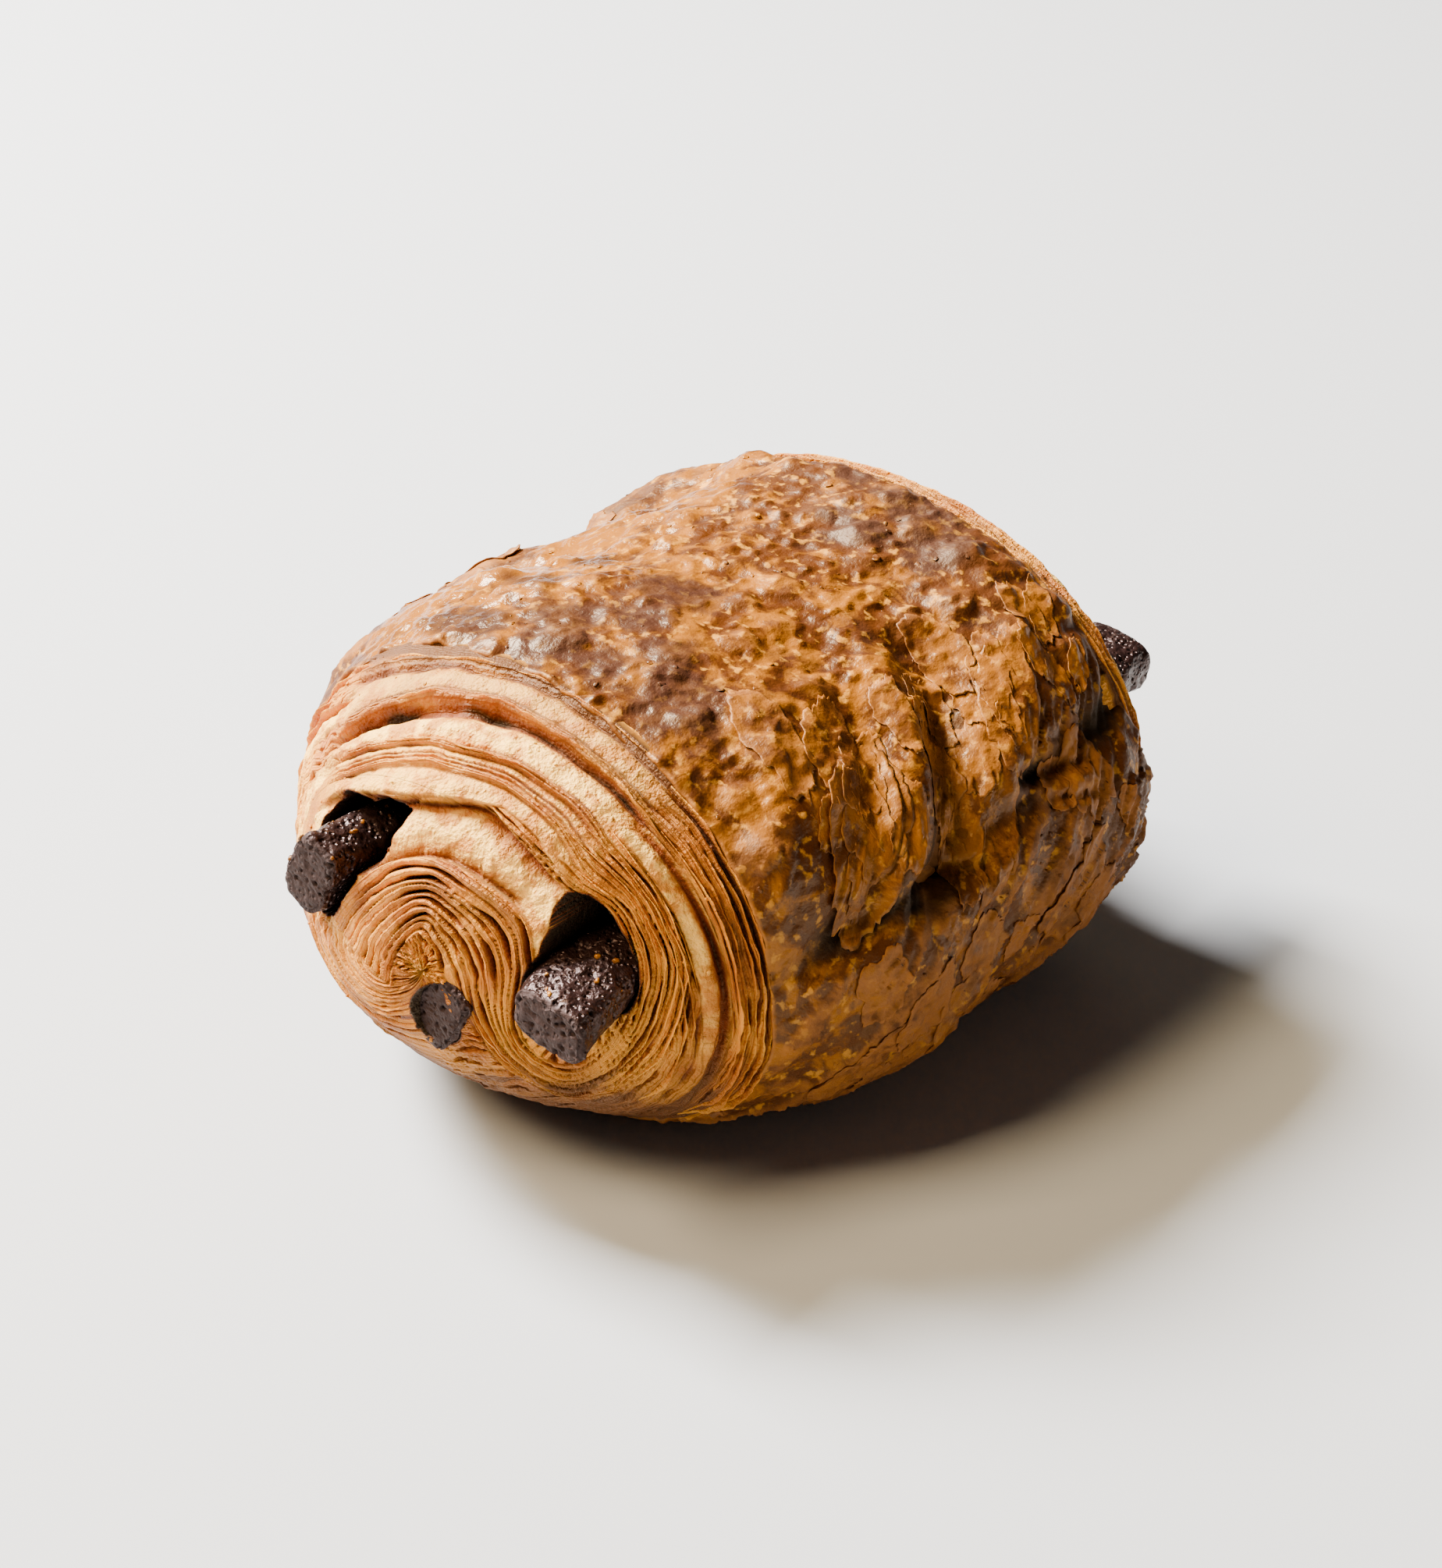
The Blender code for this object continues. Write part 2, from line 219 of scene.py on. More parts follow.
def closedMesh(name, lofts, material):
    points, faces, marks, start = [], [], [], 0
    for loftPoints, loftFaces, loftMarks in lofts:
        points.append(loftPoints)
        marks.append(loftMarks)
        faces += [tuple(corner + start for corner in face) for face in loftFaces] if start else loftFaces
        start += len(loftPoints)
    points, marks = np.concatenate(points), np.concatenate(marks)
    mesh = bpy.data.meshes.new(name)
    mesh.from_pydata(((points + shift) * mm).tolist(), [], faces)
    mesh.update()
    if marks.shape[1] == 3:
        marks = np.concatenate([marks, np.zeros((len(marks), 1))], axis=1)
    layer = mesh.attributes.new("marks", "FLOAT_COLOR", "POINT")
    layer.data.foreach_set("color", marks.ravel())
    mesh.shade_smooth()
    mesh.materials.append(material)
    made = addObject(name, mesh)
    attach(made, "root")
    return made


# Materials

def linear(code):
    parts = [int(code[k:k + 2], 16) / 255 for k in (1, 3, 5)]
    return tuple(p / 12.92 if p <= 0.04045 else ((p + 0.055) / 1.055) ** 2.4 for p in parts) + (1.0,)


def addNode(tree, kind, settings=None, inputs=None):
    node = tree.nodes.new(kind)
    for key, value in (settings or {}).items():
        setattr(node, key, value)
    for key, value in (inputs or {}).items():
        if isinstance(value, bpy.types.NodeSocket):
            tree.links.new(value, node.inputs[key])
        else:
            node.inputs[key].default_value = value
    return node


def newMaterial(name):
    material = bpy.data.materials.new(name)
    material.use_nodes = True
    tree = material.node_tree
    return material, tree, tree.nodes["Principled BSDF"]


def readMarks(tree, noises):
    # the object's own coordinates, the four marks that its mesh carries, and a noise for each scale and
    # detail. A scale is in changes to the metre, worked out from the sizes in mm that the callers note.
    place = addNode(tree, "ShaderNodeTexCoord").outputs["Object"]
    marks = addNode(tree, "ShaderNodeAttribute", {"attribute_name": "marks"})
    parts = list(addNode(tree, "ShaderNodeSeparateColor", None, {0: marks.outputs["Color"]}).outputs)
    fields = []
    for scale, detail in noises:
        inputs = {"Vector": place, "Scale": scale, "Detail": detail}
        fields.append(addNode(tree, "ShaderNodeTexNoise", None, inputs).outputs["Fac"])
    return place, parts + [marks.outputs["Alpha"]], fields


def layColours(tree, colour, layers):
    # each layer lies over the ones before by its field, as it is or eased from low to high up to a share
    for field, over, *span in layers:
        if span:
            low, high, most = span
            field = addNode(tree, "ShaderNodeMapRange", {"interpolation_type": "SMOOTHSTEP"}, {
                "Value": field, "From Min": low, "From Max": high, "To Max": most}).outputs[0]
        inputs = {0: field, 6: colour, 7: linear(over) if isinstance(over, str) else over}
        colour = addNode(tree, "ShaderNodeMix", {"data_type": "RGBA"}, inputs).outputs[2]
    return colour


def finishSurface(tree, shader, colour, height, strength, sheen):
    bump = addNode(tree, "ShaderNodeBump", None, {"Height": height, "Strength": strength, "Distance": 0.0005})
    tree.links.new(bump.outputs[0], shader.inputs["Normal"])
    tree.links.new(colour, shader.inputs["Base Color"])
    shader.inputs["Specular Tint"].default_value = linear(sheen)


# the gap and deep colours are painted shade between the sheets and in the hollows
doughLook = {
    "edge": "#DE9028", "shade": "#B06216", "gap": "#783206", "deep": "#150602", "skin": "#FFC45C",
    "fleck": "#BE7422", "baked": "#5E3414", "sheen": "#FFDCA8",
}


def makeDoughMaterial():
    # Laminated dough, baked: dry, matt, slightly translucent sheets. Light gets through the thin
    # edges; the orange and near black in the gaps between them and in the hollows are painted shade.
    material, tree, shader = newMaterial("laminatedDough")
    # 7 mm between broad shades, 1.1 mm for the grain, 0.4 mm for the crumb and 2.4 mm for the mottling
    _, (gap, skin, bake, phase), (broad, fine, crumb, mottle) = readMarks(
        tree, [(140.0, 3.0), (900.0, 4.0), (2600.0, 2.0), (420.0, 3.0)])
    look = doughLook
    flecked = layColours(tree, linear(look["skin"]), [(mottle, look["fleck"], 0.44, 0.6, 0.9)])
    colour = layColours(tree, linear(look["edge"]), [
        (broad, look["shade"], 0.38, 0.66, 1.0), (skin, flecked), (gap, look["gap"], 0.05, 0.6, 1.0),
        (gap, look["deep"], 0.55, 1.0, 1.0), (bake, look["baked"]),
    # the baked colour is laid by the bake mark: bake, and painted shade towards the floor
    ])
    shader.inputs["Roughness"].default_value = 0.6
    shader.inputs["Subsurface Weight"].default_value = 0.15
    shader.inputs["Subsurface Radius"].default_value = (1.0, 0.45, 0.18)
    shader.inputs["Subsurface Scale"].default_value = 0.0012
    # finer strands within each sheet: two or three to a layer, waved a little
    strands = addNode(tree, "ShaderNodeMath", {"operation": "MULTIPLY"}, {0: fine, 1: 1.6}).outputs[0]
    inputs = {0: phase, 1: 628.0, 2: strands}
    strands = addNode(tree, "ShaderNodeMath", {"operation": "MULTIPLY_ADD"}, inputs).outputs[0]
    strands = addNode(tree, "ShaderNodeMath", {"operation": "SINE"}, {0: strands}).outputs[0]
    strands = addNode(tree, "ShaderNodeMapRange", {"interpolation_type": "SMOOTHSTEP"}, {
        "Value": strands, "From Min": -1.0, "From Max": 0.2, "To Max": 0.9}).outputs[0]
    height = addNode(tree, "ShaderNodeMath", {"operation": "ADD"}, {0: fine, 1: crumb}).outputs[0]
    height = addNode(tree, "ShaderNodeMath", {"operation": "ADD"}, {0: height, 1: strands}).outputs[0]
    finishSurface(tree, shader, colour, height, 0.7, look["sheen"])
    return material


# the crevice colour is painted shade in folds, fissures and under loose leaves
crustLook = {
    # the amber colour also paints shade down the sides and on the top's -Y half
    "golden": "#90540C", "amberAndShading": "#4C2406", "mahogany": "#3C2218", "flake": "#8E5624", "pale": "#CE8A2A",
    "creviceShade": "#180802", "sheen": "#FFD8A0",
}


def makeCrustMaterial():
    # Baked crust under egg wash: a hard, uneven, glossy skin, golden where thin and mahogany where
    # it stood nearest the heat. Where the top leaf has flaked off, it is paler and matt.
    # Painted shade darkens the sides, folds, fissures and the hollows between blisters, painted light
    # brightens the top's +Y half, and the pale flecks are painted highlights.
    material, tree, shader = newMaterial("eggWashedCrust")
    # 1.4 mm between fine blisters, 0.4 mm for the grain and 5 mm between patches of bake
    place, (dark, flake, creviceShade, amberAndShading), (fine, grain) = readMarks(tree, [(700.0, 4.0), (2400.0, 3.0)])
    look = crustLook
    broad = addNode(tree, "ShaderNodeTexNoise", None, {
        "Vector": place, "Scale": 190.0, "Detail": 5.0, "Roughness": 0.6, "Distortion": 0.7}).outputs["Fac"]
    inputs = {0: amberAndShading, 1: 0.1, 2: broad}
    baked = addNode(tree, "ShaderNodeMath", {"operation": "MULTIPLY_ADD"}, inputs).outputs[0]
    patches = addNode(tree, "ShaderNodeMapRange", {"interpolation_type": "SMOOTHSTEP"}, {
        "Value": fine, "From Min": 0.2, "From Max": 0.55}).outputs[0]
    patches = addNode(tree, "ShaderNodeMath", {"operation": "MULTIPLY"}, {0: flake, 1: patches}).outputs[0]
    colour = layColours(tree, linear(look["golden"]), [
        # the pale flecks are painted highlights on the blisters, placed by the fine noise
        (baked, look["amberAndShading"], 0.44, 0.6, 1.0), (fine, look["pale"], 0.56, 0.68, 0.7),
        # the crevice colour is painted shade, and the mahogany one also paints shade between blisters
        (patches, look["flake"]), (dark, look["mahogany"]), (creviceShade, look["creviceShade"]),
    ])
    shader.inputs["Specular IOR Level"].default_value = 0.42
    inputs = {"Value": flake, "To Min": 0.26, "To Max": 0.6}
    rough = addNode(tree, "ShaderNodeMapRange", None, inputs).outputs[0]
    for field, times in ((creviceShade, 0.3), (amberAndShading, 0.14), (fine, 0.12)):
        inputs = {0: field, 1: times, 2: rough}
        rough = addNode(tree, "ShaderNodeMath", {"operation": "MULTIPLY_ADD"}, inputs).outputs[0]
    tree.links.new(rough, shader.inputs["Roughness"])
    inputs = {0: grain, 1: 0.3, 2: fine}
    height = addNode(tree, "ShaderNodeMath", {"operation": "MULTIPLY_ADD"}, inputs).outputs[0]
    finishSurface(tree, shader, colour, height, 0.5, look["sheen"])
    return material


chocolateLook = {"body": "#1A0E0C", "bloom": "#261612", "pit": "#050202", "sheen": "#FFD2C6"}


def makeChocolateMaterial():
    # Dark baking chocolate that went through the oven: nearly black, dull and pitted where it was
    # cut, half glossy where it melted and set again. Its pits and cut ends are painted darker, as shade.
    material, tree, shader = newMaterial("darkBakingChocolate")
    # 0.9 mm for the bloom and 0.8 mm between the small holes
    place, (cut, pit, _, _), (fine,) = readMarks(tree, [(1100.0, 4.0)])
    look = chocolateLook
    colour = layColours(tree, linear(look["body"]), [
        # the pits are painted near black: painted shade in the small holes
        (fine, look["bloom"], 0.35, 0.7, 1.0), (pit, look["pit"], 0.3, 0.9, 1.0),
        # the cut ends are painted darker with the pit colour: painted shade
        (cut, look["pit"], 0.0, 1.0, 0.45),
    ])
    inputs = {"Value": cut, "To Min": 0.32, "To Max": 0.75}
    rough = addNode(tree, "ShaderNodeMapRange", None, inputs).outputs[0]
    tree.links.new(rough, shader.inputs["Roughness"])
    holes = addNode(tree, "ShaderNodeTexVoronoi", {"feature": "F1"}, {"Vector": place, "Scale": 1300.0})
    holes = addNode(tree, "ShaderNodeMapRange", {"interpolation_type": "SMOOTHSTEP"}, {
        "Value": holes.outputs["Distance"], "From Min": 0.0, "From Max": 0.45}).outputs[0]
    height = addNode(tree, "ShaderNodeMath", {"operation": "ADD"}, {0: fine, 1: holes}).outputs[0]
    finishSurface(tree, shader, colour, height, 0.8, look["sheen"])
    return material


doughMaterial = makeDoughMaterial()
crustMaterial = makeCrustMaterial()
chocolateMaterial = makeChocolateMaterial()
print("materials made")


# The layers of an open end. Each station is one cut across the bundle of sheets, from the curve that
# runs round the fold and the right-hand baton (y, z) to the one that runs outside it.
bundle = {
    "layers": 9,
    "stations": [
        ((9.2, 29.5), (-1.7, 26.5)), ((6.4, 34.2), (-1.7, 29.0)), ((1.7, 38.9), (-2.6, 31.6)),
        ((-4.0, 41.1), (-4.6, 33.7)), ((-10.1, 40.2), (-6.4, 33.0)), ((-15.1, 37.5), (-7.6, 31.2)),
        ((-16.9, 33.2), (-8.6, 29.6)), ((-16.4, 28.5), (-10.3, 26.6)), ((-16.4, 24.5), (-11.9, 23.2)),
        ((-17.6, 21.6), (-13.6, 18.6)), ((-20.0, 20.0), (-17.5, 13.0)), ((-23.0, 22.6), (-23.0, 15.3)),
        ((-25.2, 26.9), (-28.3, 22.3)), ((-25.6, 31.6), (-29.9, 30.2)), ((-24.6, 35.8), (-29.0, 35.2)),
        ((-22.0, 39.2), (-25.4, 41.0)), ((-17.6, 41.4), (-19.6, 46.1)), ((-12.4, 44.6), (-13.5, 49.0)),
        ((-6.4, 47.0), (-6.5, 50.7)), ((-0.7, 46.0), (-0.5, 50.0)), ((5.5, 44.0), (6.5, 48.3)),
        ((11.7, 42.0), (12.8, 46.2)), ((15.9, 38.9), (17.0, 41.5)), ((18.4, 34.5), (20.2, 35.5)),
        ((19.5, 29.0), (21.5, 29.0)), ((17.5, 22.5), (19.3, 21.3)),
    ],
    "samples": 900, "across": 46,
}
# The hollows beside the batons: reach in mm from the baton's middle towards each direction, in degrees
# from -Y towards +Z. The dough lies right against the centre baton and hides part of its end.
pockets = {
    "baton_left": {
        "reach": {
            -90: 6.0, -30: 4.1, 15: 4.9, 39: 11.0, 47: 13.9, 58: 11.8, 75: 8.6, 93: 7.8, 130: 5.5, 180: 4.2,
            240: 5.5,
        },
        "depth": 14.0,
    },
    "baton_right": {
        "reach": {
            -90: 3.9, -30: 5.5, 13: 5.5, 42: 5.8, 65: 6.9, 80: 8.2, 94: 9.7, 106: 10.4, 113: 9.3, 119: 7.4,
            137: 5.7, 160: 5.7, 190: 5.6,
        },
        "depth": 16.0,
    },
    "baton_centre": {
        "covers": {
            -84: 3.9, -50: 3.6, -29: 3.3, 0: 2.25, 30: 2.1, 60: 2.6, 84: 4.4, 110: 3.6, 137: 3.1, 190: 2.9,
            233: 3.5,
        },
        "depth": 3.6,
    },
}
barShape = {"width": 10.0, "height": 6.2, "corner": 3.6, "clearance": 0.3}


def curveThrough(points, count):  # Catmull-Rom through the points
    points = np.array(points, float)
    padded = np.concatenate([[2 * points[0] - points[1]], points, [2 * points[-1] - points[-2]]])
    at = np.linspace(0, len(points) - 1, count)
    low = np.minimum(at.astype(int), len(points) - 2)
    t = (at - low)[:, None]
    a, b, c, d = (padded[low + k] for k in range(4))
    bend, twist = 2 * a - 5 * b + 4 * c - d, 3 * b - a - 3 * c + d
    return 0.5 * (2 * b + (c - a) * t + bend * t ** 2 + twist * t ** 3)


def bundleSides(count):  # the curves that the bundle of sheets lies between
    return [curveThrough([station[side] for station in bundle["stations"]], count) for side in (0, 1)]


def mapBundle(y, z):
    # for every point: its place across the bundle, 0 to 1, its way along it, and its distance from it, in mm
    count, across = bundle["samples"], bundle["across"]
    inner, outer = bundleSides(count)
    way = np.concatenate([[0], np.cumsum(np.linalg.norm(np.diff((inner + outer) / 2, axis=0), axis=1))])
    tree = kdtree.KDTree(count * across)
    for i in range(count):
        for j in range(across):
            share = j / (across - 1)
            place = inner[i] * (1 - share) + outer[i] * share
            tree.insert((place[0], place[1], 0.0), i * across + j)
    tree.balance()
    found = np.zeros((y.size, 3))
    for n, (py, pz) in enumerate(zip(y.ravel(), z.ravel())):
        _, number, gap = tree.find((py, pz, 0.0))
        i, j = divmod(number, across)
        step = outer[i] - inner[i]
        length = max(step @ step, 1e-6)
        share = ((py - inner[i][0]) * step[0] + (pz - inner[i][1]) * step[1]) / length
        found[n] = share, way[i], gap
    return (column.reshape(y.shape) for column in found.T)


def barReach(angle, turn):
    across = np.abs(np.cos(angle - math.radians(turn))) / (barShape["width"] / 2)
    up = np.abs(np.sin(angle - math.radians(turn))) / (barShape["height"] / 2)
    return (across ** barShape["corner"] + up ** barShape["corner"]) ** (-1 / barShape["corner"])


def batonMiddle(name, x):
    front, back = batons[name]["front"], batons[name]["back"]
    share = (x - front[0]) / (back[0] - front[0])
    bend = np.clip(1 - (x - front[0]) / bows["length"], 0.0, 1.0) ** 2
    bow = bows.get(name, (0.0, 0.0))
    return [front[k] + (back[k] - front[k]) * share + bow[k - 1] * bend for k in (1, 2)]


def pocketMask(x, y, z, name, openness):
    # how far inside the hollow beside a baton a point is, in mm, negative outside
    middleY, middleZ = batonMiddle(name, x)
    angle = np.arctan2(z - middleZ, middleY - y)
    covers = "covers" in pockets[name]
    outline = pockets[name]["covers" if covers else "reach"]
    stated = np.array(sorted((key % 360, value) for key, value in outline.items()))
    wide = np.interp(np.degrees(angle) % 360, stated[:, 0], stated[:, 1], period=360)
    reach = barReach(angle, batons[name]["turn"]) + barShape["clearance"]
    reach = np.minimum(reach, wide) if covers else reach + np.maximum(0.0, wide - reach) * openness
    return reach - np.hypot(y - middleY, z - middleZ)


layerLook = {"lift": 0.4, "gap": 1.3, "gapWidth": 0.13, "wobble": 0.5, "flutter": 0.1, "ragged": 0.07}


def layerRelief(phase, way, seed, gapScale=1.0, terrace=0.0):
    # height and gap mark (painted shade in the gaps) of stacked sheets whose edges meet the surface at whole
    # phases
    wobble = layerLook["wobble"] * smoothNoise(way / 6.0, phase * 0.35, seed)
    wobble += layerLook["flutter"] * smoothNoise(way / 1.7, phase * 0.7, seed + 3.3)
    wobble += 0.3 * smoothNoise(way / 14.0, phase * 1.1, seed + 9.1)
    phase = phase + wobble
    number = np.floor(phase)
    part = phase - number
    own = number * 7.31 + seed
    edgeNumber = np.round(phase)
    edgeOwn = edgeNumber * 3.77 + seed + 11.0
    lift = layerLook["lift"] * smoothNoise(way / 6.0, own, seed)
    lift = lift + 0.16 * smoothNoise(way / 1.3, own, seed + 5.0)
    openGap = ease(smoothNoise(way / 4.5, edgeOwn, seed + 7.0), -0.4, 0.5)
    depth = layerLook["gap"] * gapScale * (0.15 + 1.15 * openGap)
    width = layerLook["gapWidth"] * (0.65 + 0.75 * openGap)
    off = np.abs(phase - edgeNumber)
    groove = np.exp(-(off / width) ** 2)
    body = np.sin(np.pi * part) ** 0.6
    ragged = layerLook["ragged"] * smoothNoise(way / 0.7, own * 1.7, phase * 1.3)
    height = lift * body + ragged - depth * groove + terrace * (part - 0.5)
    tone = ease(smoothNoise(way / 14.0, own * 1.9, seed + 2.0), 0.0, 0.7)
    return height, groove * (0.35 + 0.65 * openGap), tone, phase


endLook = {
    "around": 720, "wrapRings": 116, "coreRings": 130, "split": 0.68, "outerLayers": 5.0, "outerTo": 0.915,
    "skinTo": 0.845, "rollTo": 0.76, "lowerPitch": 1.15, "notch": 2.6, "rimGroove": 0.9, "overhang": 1.5,
    "farDepth": 0.6,  # how deep and open the far end's hollows are beside the near end's
}

# The wraps across the top of the near end: curves of (degrees, share of the rim's reach), from the crust's
# lip down to the lip over the hollow, and each curve's own place on the way.
topCurves = {
    "lip": [(40, 1.0), (100, 0.997), (115, 0.989), (129, 0.978), (148, 0.968), (165, 0.99)],
    "secondLip": [(37, 0.918), (57, 0.93), (79, 0.94), (102, 0.94), (122, 0.911), (146, 0.82), (160, 0.80)],
    "gapFoot": [(40, 0.902), (66, 0.918), (88, 0.92), (107, 0.903), (132, 0.838), (146, 0.79), (160, 0.77)],
    "sheets": [(39, 0.81), (60, 0.847), (85, 0.846), (115, 0.81), (148, 0.74), (160, 0.72)],
    "lowerSheets": [(40, 0.72), (62, 0.772), (84, 0.788), (112, 0.76), (144, 0.69)],
    "overhang": [(40, 0.64), (64, 0.709), (80, 0.725), (98, 0.678), (116, 0.634), (144, 0.618)],
}
topPlaces = {"lip": 0.0, "secondLip": 1.0, "gapFoot": 1.3, "sheets": 2.0, "lowerSheets": 3.0, "overhang": 4.0}
# the gap column is painted shade in the grooves and under the lips
topProfile = [  # place, then height in mm, gap, skin and bake
    (-0.3, 0.3, 0.0, 0.0, 0.7), (0.0, 0.5, 0.0, 0.1, 0.6), (0.06, 0.2, 0.3, 0.1, 0.4),
    (0.14, -1.2, 0.8, 0.0, 0.1), (0.24, -0.6, 0.35, 0.4, 0.0), (0.34, 0.1, 0.0, 0.5, 0.1),
    (0.55, 0.3, 0.0, 0.6, 0.0), (0.7, 0.15, 0.0, 0.5, 0.1), (0.76, -0.15, 0.45, 0.2, 0.1),
    (0.82, 0.45, 0.0, 0.1, 0.15), (0.87, 0.15, 0.4, 0.0, 0.2), (0.92, 0.75, 0.0, 0.1, 0.25),
    (0.96, 0.45, 0.3, 0.0, 0.3), (1.0, 1.0, 0.0, 0.0, 0.6), (1.05, 0.3, 0.3, 0.0, 0.2),
    (1.12, -1.9, 0.95, 0.0, 0.1), (1.22, -2.1, 0.9, 0.0, 0.1), (1.33, -1.0, 0.45, 0.4, 0.0),
    (1.46, -0.1, 0.0, 1.0, 0.0), (1.7, 0.35, 0.0, 1.0, 0.0), (1.88, 0.3, 0.0, 0.9, 0.0),
    (1.94, 0.0, 0.45, 0.3, 0.1), (2.0, 0.6, 0.0, 0.1, 0.25), (2.06, 0.15, 0.5, 0.0, 0.2),
    (2.13, 0.6, 0.0, 0.1, 0.15), (2.2, -0.6, 0.6, 0.0, 0.1), (2.32, -0.2, 0.05, 0.6, 0.0),
    (2.48, 0.15, 0.0, 0.6, 0.0), (2.58, -0.35, 0.5, 0.2, 0.0), (2.68, 0.25, 0.0, 0.5, 0.05),
    (2.8, -0.45, 0.55, 0.1, 0.05), (2.9, 0.4, 0.0, 0.1, 0.15), (2.96, 0.0, 0.5, 0.0, 0.2),
    (3.04, 0.55, 0.0, 0.1, 0.2), (3.12, -0.3, 0.4, 0.1, 0.1), (3.28, 0.2, 0.0, 0.6, 0.1),
    (3.6, 0.5, 0.0, 0.7, 0.12), (3.88, 0.4, 0.0, 0.6, 0.2), (4.0, -0.2, 0.3, 0.4, 0.3),
]


def curveShare(curve, degrees):
    return np.interp(degrees, *np.array(topCurves[curve]).T)


def topPlace(share, degrees):  # where between the curves a point lies
    names = list(topCurves)
    place = np.minimum(0.0, (curveShare("lip", degrees) - share) / 0.04)
    for upper, lower in zip(names, names[1:]):
        high, low = curveShare(upper, degrees), curveShare(lower, degrees)
        passed = np.clip((high - share) / (high - low), 0.0, 1.0)
        place = place + (topPlaces[lower] - topPlaces[upper]) * passed
    low = curveShare("overhang", degrees)
    return place + np.maximum(0.0, low - share) / 0.04


def makeEnd(name, end):
    # one open end, as the outer wraps and the inner roll
    turns = np.linspace(0, 2 * np.pi, endLook["around"], endpoint=False)
    rim = reachAt(end["rim"], turns)
    wrapShares = np.linspace(1.0, endLook["split"], endLook["wrapRings"])
    coreShares = np.linspace(endLook["split"], 0.012, endLook["coreRings"])
    shares = np.concatenate([wrapShares, coreShares[1:]])
    share, turn = np.meshgrid(shares, turns, indexing="ij")
    y = eyeY - share * rim * np.cos(turn)
    z = eyeZ + share * rim * np.sin(turn)
    x = depthAt(y, z, end["rim"])
    points = np.stack([x, y, z], axis=-1)
    normals = gridNormals(points, np.array([end["side"], 0.0, 0.0]))
    degrees = (np.degrees(turn) + 90) % 360 - 90  # -90 to 270, from the bottom round by the right
    seed = end["seed"]
    way = np.radians(degrees) * rim * 0.9

    across, along, gapTo = mapBundle(y, z)
    inBundle = ease(0.45 - gapTo, 0.0, 0.25) * ease(across, -0.06, 0.0) * ease(1.06 - across, 0.0, 0.06)
    bundled = layerRelief((1 - across) * bundle["layers"], along, seed + 1.5, 1.1, 0.4)
    outerPhase = (1 - share) / (1 - endLook["outerTo"]) * endLook["outerLayers"]
    outer = layerRelief(outerPhase, way, seed + 21.0, 0.8, -0.4)
    height, gap, tone, phase = layerRelief((1 - share) * rim / endLook["lowerPitch"], way, seed + 33.0, 0.8)
    gap = gap * 0.85

    upper = ease(degrees, -35.0, 25.0) * ease(200.0 - degrees, 0.0, 40.0)
    inOuter = ease(share, endLook["outerTo"] - 0.004, endLook["outerTo"] + 0.004)
    inSkin = ease(share, endLook["skinTo"] - 0.01, endLook["skinTo"] + 0.01) * (1 - inOuter) * upper
    inRoll = ease(endLook["rollTo"] - share, 0.0, 0.03) * ease(share, 0.2, 0.25) * upper * (1 - inBundle)
    skinNoise = 0.2 * roughNoise(x / 1.9, y / 1.9, z / 1.9, 3, seed) + 0.35 * smoothNoise(x / 7, y / 7, z / 7)

    # where the coil's layers crowd closer than the mesh can show, they fade out
    crowding = np.abs(bundled[3] - np.roll(bundled[3], 1, axis=1))
    crowding = np.maximum(crowding, np.abs(np.gradient(bundled[3], axis=0)))
    calm = 1 - ease(np.maximum(crowding, np.roll(crowding, -1, axis=1)), 0.26, 0.42)
    bundled = (bundled[0] * calm, bundled[1] * calm, *bundled[2:])

    nothing = gap * 0
    for weight, (newHeight, newGap, newTone, newPhase) in (
        (inOuter, outer), (inSkin, (0.25 + skinNoise, nothing, nothing, nothing)),
        (inRoll, (skinNoise - 0.1, nothing, nothing, nothing)), (inBundle, bundled),
    ):
        height = height * (1 - weight) + newHeight * weight
        gap = gap * (1 - weight) + newGap * weight
        tone = tone * (1 - weight) + newTone * weight
        phase = np.where(weight > 0.5, newPhase, phase)
    skin = np.clip(inSkin + inRoll, 0, 1) * (1 - inBundle)

    # the wraps across the top of the near end
    inTop = np.zeros(share.shape)
    if end["side"] < 0:
        sway = 0.0035 * smoothNoise(way / 7.0, share * 9.0, 2.5)
        sway = sway + 0.0016 * smoothNoise(way / 1.4, share * 30.0, 6.5)
        place = topPlace(share + sway, degrees)
        inTop = ease(degrees, 38.0, 58.0) * ease(158.0 - degrees, 0.0, 14.0) * ease(4.0 - place, 0.0, 0.12)
        columns = np.array(topProfile).T
        topHeight, topGap, topSkin, topBake = (np.interp(place, columns[0], column) for column in columns[1:])
        uneven = 0.75 + 0.5 * smoothNoise(way / 5.0, place * 2.0, 8.5)
        topHeight = topHeight * uneven + skinNoise * (0.3 + 0.7 * topSkin)
        topGap = np.clip(topGap * (0.8 + 0.7 * smoothNoise(way / 6.0, place * 3.0, 12.5)), 0, 1)
        height = height * (1 - inTop) + topHeight * inTop
        gap = gap * (1 - inTop) + topGap * inTop
        skin = skin * (1 - inTop) + topSkin * inTop
        topBake = 0.1 + 0.9 * ease(1.1 - place, 0.0, 0.3) + 1.3 * topBake
        tone = tone * (1 - inTop) + topBake * inTop
        phase = np.where(inTop > 0.5, place * 4.0, phase)

